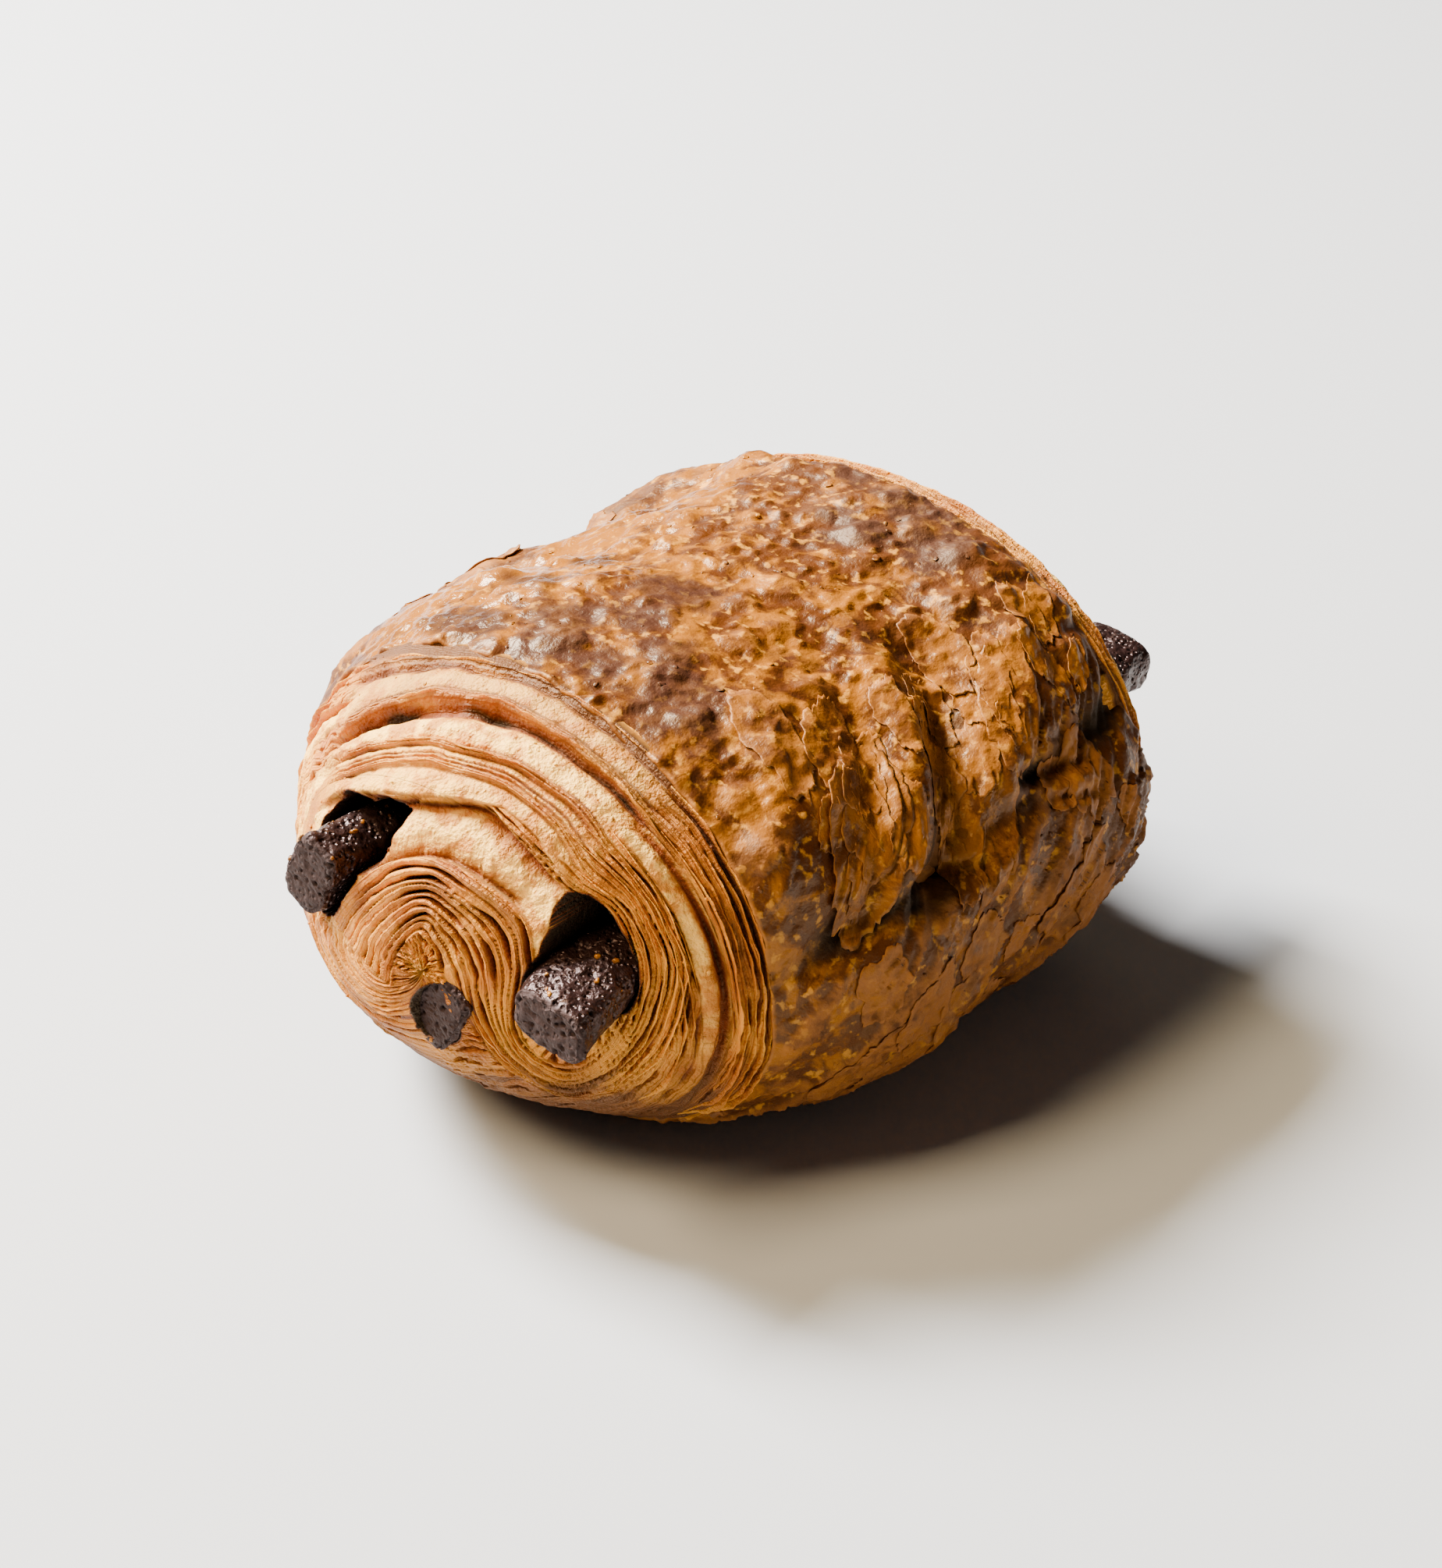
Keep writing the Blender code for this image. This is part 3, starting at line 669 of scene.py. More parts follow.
    # the deep gap under the outer wrap, and the lip that hangs over the inner roll, each with painted shade
    # in the gap mark, as has the line along the rim
    notch = (1 - inTop) * hump(share, endLook["outerTo"] - 0.013, 0.0125)
    notch = notch * ease(degrees, -70.0, 0.0) * ease(215.0 - degrees, 0.0, 40.0)
    notch *= 0.8 + 0.35 * smoothNoise(way / 12.0, 1.5, seed)
    height = height - endLook["notch"] * notch
    gap = np.maximum(gap, np.clip(notch, 0, 1))
    rimLine = (1 - inTop) * hump(share, 0.987, 0.0045) * (0.65 + 0.5 * smoothNoise(way / 9.0, 4.5, seed))
    height = height - endLook["rimGroove"] * rimLine
    gap = np.maximum(gap, np.clip(rimLine, 0, 0.85))
    overRoll = inRoll * (ease(degrees, 30.0, 55.0) * ease(165.0 - degrees, 0.0, 20.0))
    nearLip = np.exp(-np.maximum(0.0, gapTo) / 1.3) * overRoll
    height = height - endLook["overhang"] * nearLip - 0.5 * overRoll
    gap = np.maximum(gap, nearLip * 0.75)

    # the dough lies level where it meets the centre baton
    middleY, middleZ = batonMiddle("baton_centre", x)
    angle = np.arctan2(z - middleZ, middleY - y)
    over = barReach(angle, batons["baton_centre"]["turn"]) - np.hypot(y - middleY, z - middleZ)
    overBar = ease(over, -1.4, -0.5) * (end["side"] < 0)
    height = np.maximum(height, -0.1) * overBar + height * (1 - overBar)

    # more bake at the rim and at the far end, with painted shade towards the floor in the same mark, and none
    # of it inside the hollows
    moved = points + normals * height[..., None]
    bake = 0.8 * hump(share, 1.0, 0.012) + 0.45 * tone
    bake = bake + 0.25 * ease(smoothNoise(x / 6, y / 6, z / 6 + seed), 0.1, 0.8) + 0.35 * (end["side"] > 0)
    # darker towards the floor: painted shade
    bake = bake + 1.1 * ease(24.0 - z, 0.0, 17.0)
    inHole = np.zeros(share.shape)
    openness = 1.0 if end["side"] < 0 else endLook["farDepth"]
    for batonName, pocket in pockets.items():
        inside = pocketMask(x, y, z, batonName, openness)
        fall = 0.6 * ease(inside, 0.0, 0.45) + 0.4 * ease(inside, 0.2, 1.6)
        moved[..., 0] -= end["side"] * (pocket["depth"] * openness) * fall
        # the hollows' walls are painted dark through the gap mark, as shade
        inHole = np.maximum(inHole, ease(inside, -0.3, -0.02))
    gap = np.maximum(gap, inHole)
    bake = np.clip(bake * (1 - inHole) * (0.4 + 0.6 * (1 - skin)), 0, 1)
    moved[..., 2] = np.maximum(moved[..., 2], 0.15)
    strand = np.where((skin > 0.3) | (inHole > 0.3), 0.0, phase / 40.0 + 0.5)
    marks = np.stack([gap, skin * (1 - inHole), bake, strand], axis=-1)

    # both pieces are closed by plain rings inside the roll
    wraps, inward = endLook["wrapRings"], -end["side"]
    hidden = []
    for hiddenShare, deep in ((0.6, 4.0), (0.6, 9.0), (0.96, 6.0), (1.0, 0.8)):
        ring = reachPoint(end["rim"], hiddenShare * rim, turns) if hiddenShare < 1 else moved[0].copy()
        ring[:, 0] += inward * deep
        ring[:, 2] = np.maximum(ring[:, 2], 0.5)
        hidden.append(ring)
    wrapRings = np.concatenate([moved[:wraps], np.array(hidden)])
    wrapMarks = np.concatenate([marks[:wraps], np.zeros((len(hidden), len(turns), 4))])
    wrapPiece = closedMesh(name + "Wraps", [loft(wrapRings, None, wrapMarks)], doughMaterial)
    core = moved[wraps - 1:]
    wall = core[0].copy()
    wall[:, 0] += inward * 14.0
    wall[:, 1:] = wall[:, 1:] * 0.9 + np.array([eyeY, eyeZ]) * 0.1
    tips = (np.array([wall[:, 0].mean(), eyeY, eyeZ]), core[-1].mean(0))
    coreMarks = np.concatenate([marks[wraps - 1:wraps], marks[wraps - 1:]])
    coreLoft = loft(np.concatenate([wall[None], core]), tips, coreMarks)
    corePiece = closedMesh(name + "Roll", [coreLoft], doughMaterial)
    print(name, "end made")
    return [wrapPiece, corePiece]


# The crust

folds = {
    "right": [
        (-62.0, 1.2, 4.5), (-50.0, -1.2, 3.5), (-42.5, 1.3, 3.2), (-34.5, -2.2, 3.6), (-23.0, 1.5, 6.0),
    ],
    "left": [(-60.0, 0.8, 5.0), (-47.0, -1.5, 4.0), (-36.0, 1.4, 5.0), (-22.0, -1.4, 4.5), (-10.0, 1.0, 5.0)],
    "foot": 26.0, "crease": (35.0, 0.13, 1.7, 2.4), "shoulder": (-1.5, 12.0, 22.0),
}
crustShape = {"around": 560, "along": 172, "blister": 0.85, "bubble": 0.34, "leaf": 0.42, "wrinkle": 0.5}
darkPatches = [  # (x, y) on the top, and half sizes in mm
    (-20.0, 14.0, 5.0, 9.0), (-19.5, -1.0, 5.5, 9.0), (-17.5, -14.0, 6.5, 7.5), (-8.0, -2.0, 5.0, 4.5),
    (0.0, 0.0, 5.0, 7.0), (-14.0, 5.0, 5.0, 6.0), (-12.0, -9.0, 4.5, 5.0), (-8.0, 14.5, 4.0, 4.0),
    (0.5, 14.0, 3.5, 3.0), (37.0, 4.0, 4.0, 5.0), (34.0, -6.5, 4.5, 6.0), (29.0, -14.0, 5.5, 4.0),
    (25.0, -5.0, 4.0, 6.0),
]
fissures = [  # (x, z) from and to on the -Y side, how deep and half as wide as this, in mm
    ((12.0, 39.2), (28.0, 36.4), 1.3, 0.9), ((-7.0, 36.0), (7.0, 33.0), 1.1, 0.8),
    ((16.0, 35.4), (27.0, 33.6), 0.7, 0.6), ((7.5, 40.5), (2.0, 36.5), 1.0, 0.9),
    ((-2.0, 43.5), (-6.5, 38.0), 0.7, 0.8),
]


def crustForm(x, y, z):  # the folds, crease and swells that the solid has too
    side = ease(np.abs(y), 8.0, 28.0)
    along = x - z + 2.5 * smoothNoise(x / 16, y / 16, z / 16 + 17)
    right = sum(height * hump(along, place, width) for place, height, width in folds["right"])
    left = sum(height * hump(along, place, width) for place, height, width in folds["left"])
    level, rise, depth, width = folds["crease"]
    offCrease = z - level - rise * x - 1.5 * smoothNoise(x / 9 + 23, 0.0, 0.0)
    crease = hump(offCrease, 0.0, width) * ease(x, -22.0, -8.0) * side
    fold = side * np.where(y < 0, right, left) * ease(z, folds["foot"], folds["foot"] + 10.0)
    sink, place, length = folds["shoulder"]
    fold = fold + sink * hump(x, place, length) * ease(y, 12.0, 26.0) * ease(z, 36.0, 42.0)
    return fold - depth * crease + 0.6 * smoothNoise(x / 9, y / 9, z / 9), crease


def makeCrust():
    turns = np.linspace(0, 2 * np.pi, crustShape["around"], endpoint=False)
    first, last = ends["front"]["rim"], ends["back"]["rim"]
    stations = np.linspace(first, last, crustShape["along"])
    base = np.array([reachPoint(u, reachAt(u, turns), turns) for u in stations])
    normals = gridNormals(base, base - np.array([0, 0, 27.0]))
    x, y, z = base[..., 0], base[..., 1], base[..., 2]
    form, crease = crustForm(x, y, z)
    top = ease(z, 38.0, 50.0)
    side = 1 - top

    # blisters: domed cells of two sizes, more of them on the top
    warp = 0.8 * smoothNoise(x / 5, y / 5, z / 5)
    near, own = cells((x + warp) / 5.5, (y - warp) / 5.5, z / 5.5, 3)
    blister = crustShape["blister"] * ease(0.62 - near, 0.0, 0.5) * ease(own, 0.25, 0.6) * (0.3 + 0.7 * top)
    near, own = cells(x / 2.3 + 9, (y + warp) / 2.0, z / 2.3, 8)
    bubble = crustShape["bubble"] * ease(0.6 - near, 0.0, 0.45) * ease(own, 0.4, 0.7) * (0.3 + 0.7 * top)
    wrinkle = crustShape["wrinkle"] * (0.5 - np.abs(smoothNoise(x / 3.2 + 0.3 * y / 3, y / 3.0, z / 3.2 + 5)))
    ripple = 0.1 * roughNoise(x / 1.6, y / 1.6, z / 1.6, 2, 9.0)

    # leaves of crust that have lifted: ragged-edged steps, most of them on the sides
    lean = x - 0.8 * z
    patch = roughNoise(lean / 8.0, y / 22.0, z / 15.0, 4, 31.0)
    leaf = np.zeros(x.shape)
    for level, share in ((-0.05, 1.0), (0.28, 0.9), (0.62, 0.8)):
        leaf += share * ease(patch, level, level + 0.045)
    leafSide = ease(side, 0.2, 0.9) * ease(x, -27.0, -20.0)
    low = ease(20.0 - z, 0.0, 12.0)
    peel = roughNoise(x / 5.0, y / 5.0, z / 5.0, 4, 57.0)
    lowLeaf = ease(peel, 0.0, 0.05) * low
    leafHeight = crustShape["leaf"] * (leaf * leafSide + 0.8 * lowLeaf)
    upright = side * (0.5 - np.abs(smoothNoise(lean / 1.5, y / 9.0, z / 7.0 + 3)))
    upright *= 0.35 + 0.65 * ease(x, 16.0, 26.0)
    fissure = np.zeros(x.shape)
    for (x0, z0), (x1, z1), deep, wide in fissures:
        share = ((x - x0) * (x1 - x0) + (z - z0) * (z1 - z0)) / ((x1 - x0) ** 2 + (z1 - z0) ** 2)
        share = np.clip(share, 0, 1)
        bend = 0.9 * roughNoise(x / 4.0, 3.0, z / 9.0, 3, 3.0)
        away = np.hypot(x - x0 - share * (x1 - x0), z + bend - z0 - share * (z1 - z0))
        taper = ease(share, -0.01, 0.2) * ease(1.01 - share, 0.0, 0.2)
        fissure = np.maximum(fissure, deep * hump(away, 0.0, wide) * taper * (y < 0))

    height = form + blister + bubble + wrinkle * (0.4 + 0.6 * top) + ripple + leafHeight + upright - fissure
    onFloor = z < 0.01
    height = np.where(onFloor, 0.0, height)
    moved = base + normals * height[..., None]
    moved[..., 2] = np.where(onFloor, 0.0, np.maximum(moved[..., 2], 0.1))

    # marks: mahogany patches, lifted leaves, and painted shade in folds, fissures and between blisters
    dark = np.zeros(x.shape)
    for atX, atY, wide, long in darkPatches:
        off = ((x - atX) / wide) ** 2 + ((y - atY) / long) ** 2
        dark = np.maximum(dark, np.exp(-off) * ease(z, 40.0, 48.0))
    ragged = roughNoise(x / 5.0, y / 5.0, z / 5.0, 4, 77.0)
    dark = ease(dark * 1.15 + 0.42 * ragged, 0.3, 0.9) * 0.85 * ease(z, 38.0, 47.0)
    valley = ease(-form, 0.1, 1.5) * side
    between = ease(0.14 - blister - bubble - 0.4 * wrinkle, 0.0, 0.16)
    # painted shade in the hollows between blisters on the top, laid with the mahogany mark
    dark = np.maximum(dark, 0.55 * between * ease(ragged, -0.3, 0.5) * top)
    flakeMark = ease(leaf, 0.8, 2.0) * leafSide * 0.8 + lowLeaf * 0.95 + 0.2 * ease(blister, 0.1, 0.5)
    flakeMark = np.clip(flakeMark * (1 - 0.4 * ease(x, 0.0, 25.0) * ease(z, 20.0, 34.0)), 0, 1)
    # the crevice mark is painted shade in the crease, the fold valleys and the fissures
    creviceShadeMark = np.clip(0.6 * crease * ease(ragged, -0.6, 0.4) + 0.85 * valley, 0, 1)
    creviceShadeMark = creviceShadeMark * (1 - 0.5 * flakeMark)
    creviceShadeMark = np.maximum(creviceShadeMark, np.clip(fissure * 1.3, 0, 1))
    # the amber mark: the crust's own amber mottling, more of it down the sides and towards the back, where it
    # is partly painted shade; on the top it adds painted shade on the -Y half and, below zero, painted light
    # on the +Y half that faces the key lamp
    amberAndShading = side * (0.75 + 0.6 * roughNoise(x / 9.0, y / 9.0, z / 9.0, 2, 63.0) + 0.6 * ease(x, -5.0, 30.0))
    amberAndShading = amberAndShading + 0.8 * top * (ease(x, 5.0, 28.0) + 0.4 * ragged * ease(x, -10.0, 5.0))
    amberAndShading = amberAndShading + top * (0.4 - 1.3 * ease(y, 2.0, 20.0))
    amberAndShading = np.clip(amberAndShading, -1.0, 1.7)
    marks = np.stack([dark * (1 - 0.5 * flakeMark), flakeMark, creviceShadeMark, amberAndShading], axis=-1)

    # both rims turn in over the layers, and plain rings inside close the shell
    inner = []
    for row, outward in ((-1, 1), (0, -1)):
        for step, drop in ((0.45, 0.15), (0.6, 0.5), (0.35, 0.9), (-0.6, 1.2)):
            ring = moved[row] - normals[row] * drop
            ring[:, 0] += outward * step * (1 + 0.5 * smoothNoise(turns * 9, step, outward))
            inner.append(ring)
        if row:
            for u in np.linspace(last - 0.06, first + 0.06, 7):
                inner.append(reachPoint(u, reachAt(u, turns) - 3.0, turns))
            fronts = len(inner)
    rings = np.concatenate([moved, np.array(inner[:fronts] + inner[fronts:][::-1])])
    rings[..., 2] = np.maximum(rings[..., 2], 0.0)
    fill = np.zeros((len(rings) - len(moved), len(turns), 4))
    fill[..., 1] = 0.6
    made = closedMesh("crust", [loft(rings, None, np.concatenate([marks, fill]))], crustMaterial)
    return made, moved, normals


# The batons

batonLook = {"around": 120, "along": 190, "capRings": 16, "lump": 0.36, "pit": 0.26, "edge": 0.45}


def makeBaton(name):
    place = batons[name]
    front, back = place["front"][0], place["back"][0]
    angles = np.linspace(0, 2 * np.pi, batonLook["around"], endpoint=False)
    edge = batonLook["edge"]
    caps = np.linspace(0.06, 1.0, batonLook["capRings"])
    rows = [(front, share) for share in caps[:-1]]
    rows += [(front + edge * (1 - math.cos(t)), 1 - 0.07 * (1 - math.sin(t))) for t in (0.0, 0.5, 1.0)]
    shown = 16.0  # only the ends show, so the rings lie close there
    body = np.concatenate([
        np.linspace(front + edge + 0.15, front + shown, batonLook["along"] // 2),
        np.linspace(front + shown + 4, back - shown - 4, 8),
        np.linspace(back - shown, back - edge - 0.15, batonLook["along"] // 2),
    ])
    rows += [(x, 1.0) for x in body]
    rows += [(back - edge * (1 - math.cos(t)), 1 - 0.07 * (1 - math.sin(t))) for t in (1.0, 0.5, 0.0)]
    rows += [(back, share) for share in caps[:-1][::-1]]
    x = np.array([row[0] for row in rows])[:, None] + angles * 0
    share = np.array([row[1] for row in rows])[:, None] + angles * 0
    share = np.where((x == front) | (x == back), share * 0.93, share)
    middleY, middleZ = batonMiddle(name, x)
    reach = barReach(angles, place["turn"]) * share
    y, z = middleY - reach * np.cos(angles), middleZ + reach * np.sin(angles)
    isCut = ((x < front + edge * 0.9) | (x > back - edge * 0.9)).astype(float)
    lump = batonLook["lump"] * roughNoise(x / 3.0, y / 2.6, z / 2.6, 4, 5.0)
    pitNear, pitOwn = cells(x / 1.1, y / 1.1, z / 1.1, 21)
    pit = ease(0.42 - pitNear, 0.0, 0.25) * ease(pitOwn, 0.5, 0.6)
    outwardY, outwardZ = -np.cos(angles), np.sin(angles)
    push = (lump - batonLook["pit"] * pit) * (1 - isCut)
    y = y + outwardY * push
    z = z + outwardZ * push
    cutPush = (0.22 * roughNoise(y / 1.6, z / 1.6, x / 9.0, 4, 15.0) - 2.2 * batonLook["pit"] * pit) * isCut
    x = np.clip(x + cutPush * np.where(x < 0, -1, 1), front - 0.1, back + 0.1)
    rings = np.stack([x, y, z], axis=-1)
    # the cut and pit marks darken the cut ends and the pits: painted shade
    marks = np.stack([isCut, pit, isCut * 0], axis=-1)
    tips = (rings[0].mean(0), rings[-1].mean(0))
    made = closedMesh(name + "Bar", [loft(rings, tips, marks)], chocolateMaterial)
    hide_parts(name)
    return made


# Leaves of crust that have come loose. Each zone is a stretch along X, a range of directions round the
# roll in degrees from -Y towards +Z, the leaves' half sizes in mm, and how far their edges curl.

leafLook = {"around": 84, "rings": 15, "thick": 0.13, "ragged": 0.3}
leafZones = {
    "leavesSide": {
        "count": 30, "x": (-21.0, 34.0), "round": (8.0, 54.0), "size": (1.6, 4.4), "long": 2.3, "curl": 0.4,
        "pale": 0.15, "seed": 3,
    },
    "leavesLow": {
        "count": 16, "x": (-22.0, 32.0), "round": (-34.0, 12.0), "size": (2.0, 5.0), "long": 1.2, "curl": 0.3,
        "pale": 0.8, "seed": 8,
    },
    "leavesLeft": {
        "count": 40, "x": (-20.0, 33.0), "round": (160.0, 214.0), "size": (2.0, 5.0), "long": 1.8,
        "curl": 0.5, "pale": 0.6, "seed": 14,
    },
}


def onCrust(surface, x, turn):
    # the crust's point or normal at this x and direction, eased between the grid's own
    rows, columns = surface.shape[:2]
    first, last = (ends[key]["rim"] * roll["length"] / 2 for key in ("front", "back"))
    row = np.clip((x - first) / (last - first), 0, 0.9999) * (rows - 1)
    column = (turn / (2 * np.pi) % 1.0) * columns
    low, side = row.astype(int), column.astype(int) % columns
    up, right = (row - low)[..., None], (column - np.floor(column))[..., None]
    after = (side + 1) % columns
    near = surface[low, side] * (1 - right) + surface[low, after] * right
    far = surface[low + 1, side] * (1 - right) + surface[low + 1, after] * right
    return near * (1 - up) + far * up


def makeLeaves(name, zone, surface, normals):
    draw = np.random.RandomState(zone["seed"])
    phi = np.linspace(0, 2 * np.pi, leafLook["around"], endpoint=False)
    rho = np.concatenate([np.linspace(0.08, 1.0, leafLook["rings"]), [0.985, 0.8, 0.4]])
    under = np.arange(len(rho)) >= leafLook["rings"]
    lofts = []
    for _ in range(zone["count"]):
        x0 = draw.uniform(*zone["x"])
        turn0 = math.radians(draw.uniform(*zone["round"]))
        size = zone["size"][0] + (zone["size"][1] - zone["size"][0]) * draw.uniform() ** 2
        long = size * draw.uniform(0.8, 1.2) * zone["long"]
        own = draw.uniform(0, 90)
        tilt = math.radians(draw.uniform(-15, 15)) + 0.5 * math.cos(turn0)
        ragged = 1
        for often, share, other in ((1.1, 1.0, 0), (3, 0.5, 4), (8, 0.35, 8)):
            wave = smoothNoise(np.cos(phi) * often + own, np.sin(phi) * often, own + other)
            ragged = ragged + leafLook["ragged"] * share * wave
        share = rho[:, None] * ragged[None, :]
        across, down = size * np.cos(phi) * share, long * np.sin(phi) * share
        x = x0 + across * math.cos(tilt) + down * math.sin(tilt)
        step = (-across * math.sin(tilt) + down * math.cos(tilt)) / 33.0
        turn = turn0 + step
        point, normal = onCrust(surface, x, turn), onCrust(normals, x, turn)
        free = ease(smoothNoise(np.cos(phi) * 1.3 + own, np.sin(phi) * 1.3, own + 20), -0.4, 0.5)
        free = (0.25 + 0.75 * free) * ease(0.6 - np.sin(phi), -0.3, 0.8)
        curl = zone["curl"] * draw.uniform(0.4, 1.2) * free[None, :] * rho[:, None] ** 4
        lift = 0.1 + curl + 0.1 * smoothNoise(across * 0.9 + own, down * 0.9, own)
        thick = leafLook["thick"]
        sunk = np.array([0.0] * leafLook["rings"] + [thick, thick * 1.5, 0.5])[:, None]
        rings = point + normal * (lift - sunk)[..., None]
        rings[..., 2] = np.maximum(rings[..., 2], 0.12)
        pale = np.clip(zone["pale"] * draw.uniform(0.5, 1.3) + 0.45 * rho[:, None] ** 6 + across * 0, 0, 1)
        dark = (0.3 * draw.uniform() ** 2 * (1 - zone["pale"])) * (1 - rho[:, None] ** 4) + across * 0
        # the underside rings carry a little of the crevice mark: painted shade under the leaf's edge
        marks = np.stack([dark, pale, 0.25 * under[:, None] + across * 0], axis=-1)
        tips = (rings[0].mean(0), rings[-1].mean(0) - normal[-1].mean(0) * 0.2)
        lofts.append(loft(rings, tips, marks))
    piece = closedMesh(name, lofts, crustMaterial)
    print(name, "made")
    return piece


# Thin sheets that stand out of an open end. Each runs along the rim at a share of its reach, or along
# the bundle at a place across it, between two directions or two stations, and stands this far out.

sheetLook = {"step": 0.22, "thick": 0.16, "root": 1.3, "ruffle": 0.55}
wrapSheets = [  # curve or share of the rim's reach, degrees from and to, how far it stands out
    ("lip", 44, 160, 0.6), ("secondLip", 40, 142, 1.2), ("sheets", 44, 144, 0.8),
    ("lowerSheets", 50, 138, 0.7), (0.992, -60, 52, 0.9), (0.978, -40, 48, 0.8), (0.962, -50, 46, 1.0),
    (0.943, -45, 46, 0.9), (0.928, -30, 44, 1.1), (0.842, 0, 46, 0.6), (0.826, -20, 44, 0.8),
    (0.806, -40, 42, 0.8), (0.97, 152, 215, 0.9), (0.94, 155, 210, 1.0), (0.90, 150, 205, 0.9),
]
farSheets = [  # the same for the far end
    (0.992, -60, 215, 1.0), (0.962, -50, 205, 1.1), (0.928, -30, 210, 1.2), (0.826, -20, 200, 0.9),
]
bundleSheets = [  # place across the bundle, stations from and to, how far it stands out
    (0.97, 11.5, 16.5, 1.0), (0.8, 12.0, 16.5, 0.9), (0.6, 11.5, 16.5, 0.8), (0.3, 12.0, 16.5, 0.6),
]
farStand = 0.45  # how far the far end's sheets stand out beside the near end's
sheetSection = [  # height, side and bend of a sheet's six long edges
    (-1.0, -0.5, 0.0), (0.5, -0.45, 0.5), (0.97, -0.2, 1.0), (1.0, 0.2, 1.0), (0.5, 0.45, 0.5),
    (-1.0, 0.5, 0.0),
]


def makeSheets(name, end, paths):
    lofts = []
    for number, (y, z, stand) in enumerate(paths):
        way = np.concatenate([[0], np.cumsum(np.hypot(np.diff(y), np.diff(z)))])
        even = np.arange(0, way[-1], sheetLook["step"])
        y, z = np.interp(even, way, y), np.interp(even, way, z)
        x = depthAt(y, z, end["rim"])
        base = np.stack([x, y, z], axis=1)
        along = np.gradient(base, axis=0)
        along /= np.linalg.norm(along, axis=1, keepdims=True)
        step = 0.4
        slopeY = (depthAt(y + step, z, end["rim"]) - depthAt(y - step, z, end["rim"])) / (2 * step)
        slopeZ = (depthAt(y, z + step, end["rim"]) - depthAt(y, z - step, end["rim"])) / (2 * step)
        out = np.stack([np.ones(len(x)), -slopeY, -slopeZ], axis=1) * end["side"]
        out /= np.linalg.norm(out, axis=1, keepdims=True)
        across = np.cross(along, out)
        own = number * 13.7 + end["seed"]
        fade = ease(even, 0.0, 6.0) * ease(even[-1] - even, 0.0, 6.0)
        tall = 0.25 + 0.75 * ease(smoothNoise(even / 5.0, own, 0.0), -0.5, 0.5)
        tall = stand * (tall + 0.18 * smoothNoise(even / 1.1, own, 3.0)) * fade
        sway = smoothNoise(even / 4.0, own, 6.0) + 0.4 * smoothNoise(even / 1.5, own, 9.0)
        sway = sheetLook["ruffle"] * sway
        ring = []
        for height, side, bend in sheetSection:
            reach = tall * height if height > 0 else -sheetLook["root"] * np.ones(len(x))
            offset = side * sheetLook["thick"] * (0.4 + 0.6 * fade) + sway * bend * 0.6 * fade
            ring.append(base + out * reach[:, None] + across * offset[:, None])
        rings = np.stack(ring, axis=1)
        rings[..., 2] = np.maximum(rings[..., 2], 0.2)
        marks = np.zeros(rings.shape)
        marks[:, 1:5, 2] = 0.35 * (end["side"] > 0)
        # painted shade at the foot of each sheet, in the gap mark
        marks[:, (0, 5), 0] = 0.6
        marks[:, (2, 3), 2] = (0.55 * ease(smoothNoise(even / 6.0, own, 15.0), 0.1, 0.6))[:, None]
        lofts.append(loft(rings, (rings[0].mean(0), rings[-1].mean(0)), marks))
    piece = closedMesh(name, lofts, doughMaterial)
    print(name, "made")
    return piece


def rimPath(end, share, first, last, stand):
    degrees = np.linspace(first, last, 400)
    turns = np.radians(degrees)
    share = curveShare(share, degrees) if isinstance(share, str) else share
    reach = reachAt(end["rim"], turns % (2 * np.pi)) * share
    return eyeY - reach * np.cos(turns), eyeZ + reach * np.sin(turns), stand


def bundlePath(place, first, last, stand):
    steps = 600
    inner, outer = bundleSides(steps)
    perStation = (steps - 1) / (len(bundle["stations"]) - 1)
    path = (inner * (1 - place) + outer * place)[int(first * perStation):int(last * perStation)]
    return path[:, 0], path[:, 1], stand


# Loose bits that lie on the skin: each kind's number per square metre, half sizes in mm, flatness, how much
# the skin must face up, how far along X they reach in mm, and the seed.

strewn = {
    "barCrumbs": {
        "perArea": 5.0e4, "size": (0.16, 0.5), "flat": 0.8, "upward": 0.25, "toX": -33.0, "seed": 4,
    },
    "doughCrumbs": {
        "perArea": 3.4e4, "size": (0.09, 0.28), "flat": 0.7, "upward": 0.0, "toX": -20.0, "seed": 11,
    },
    "crustFlakes": {
        "perArea": 3.0e4, "size": (0.12, 0.5), "flat": 0.14, "upward": -0.35, "toX": 40.0, "seed": 23,
    },
}


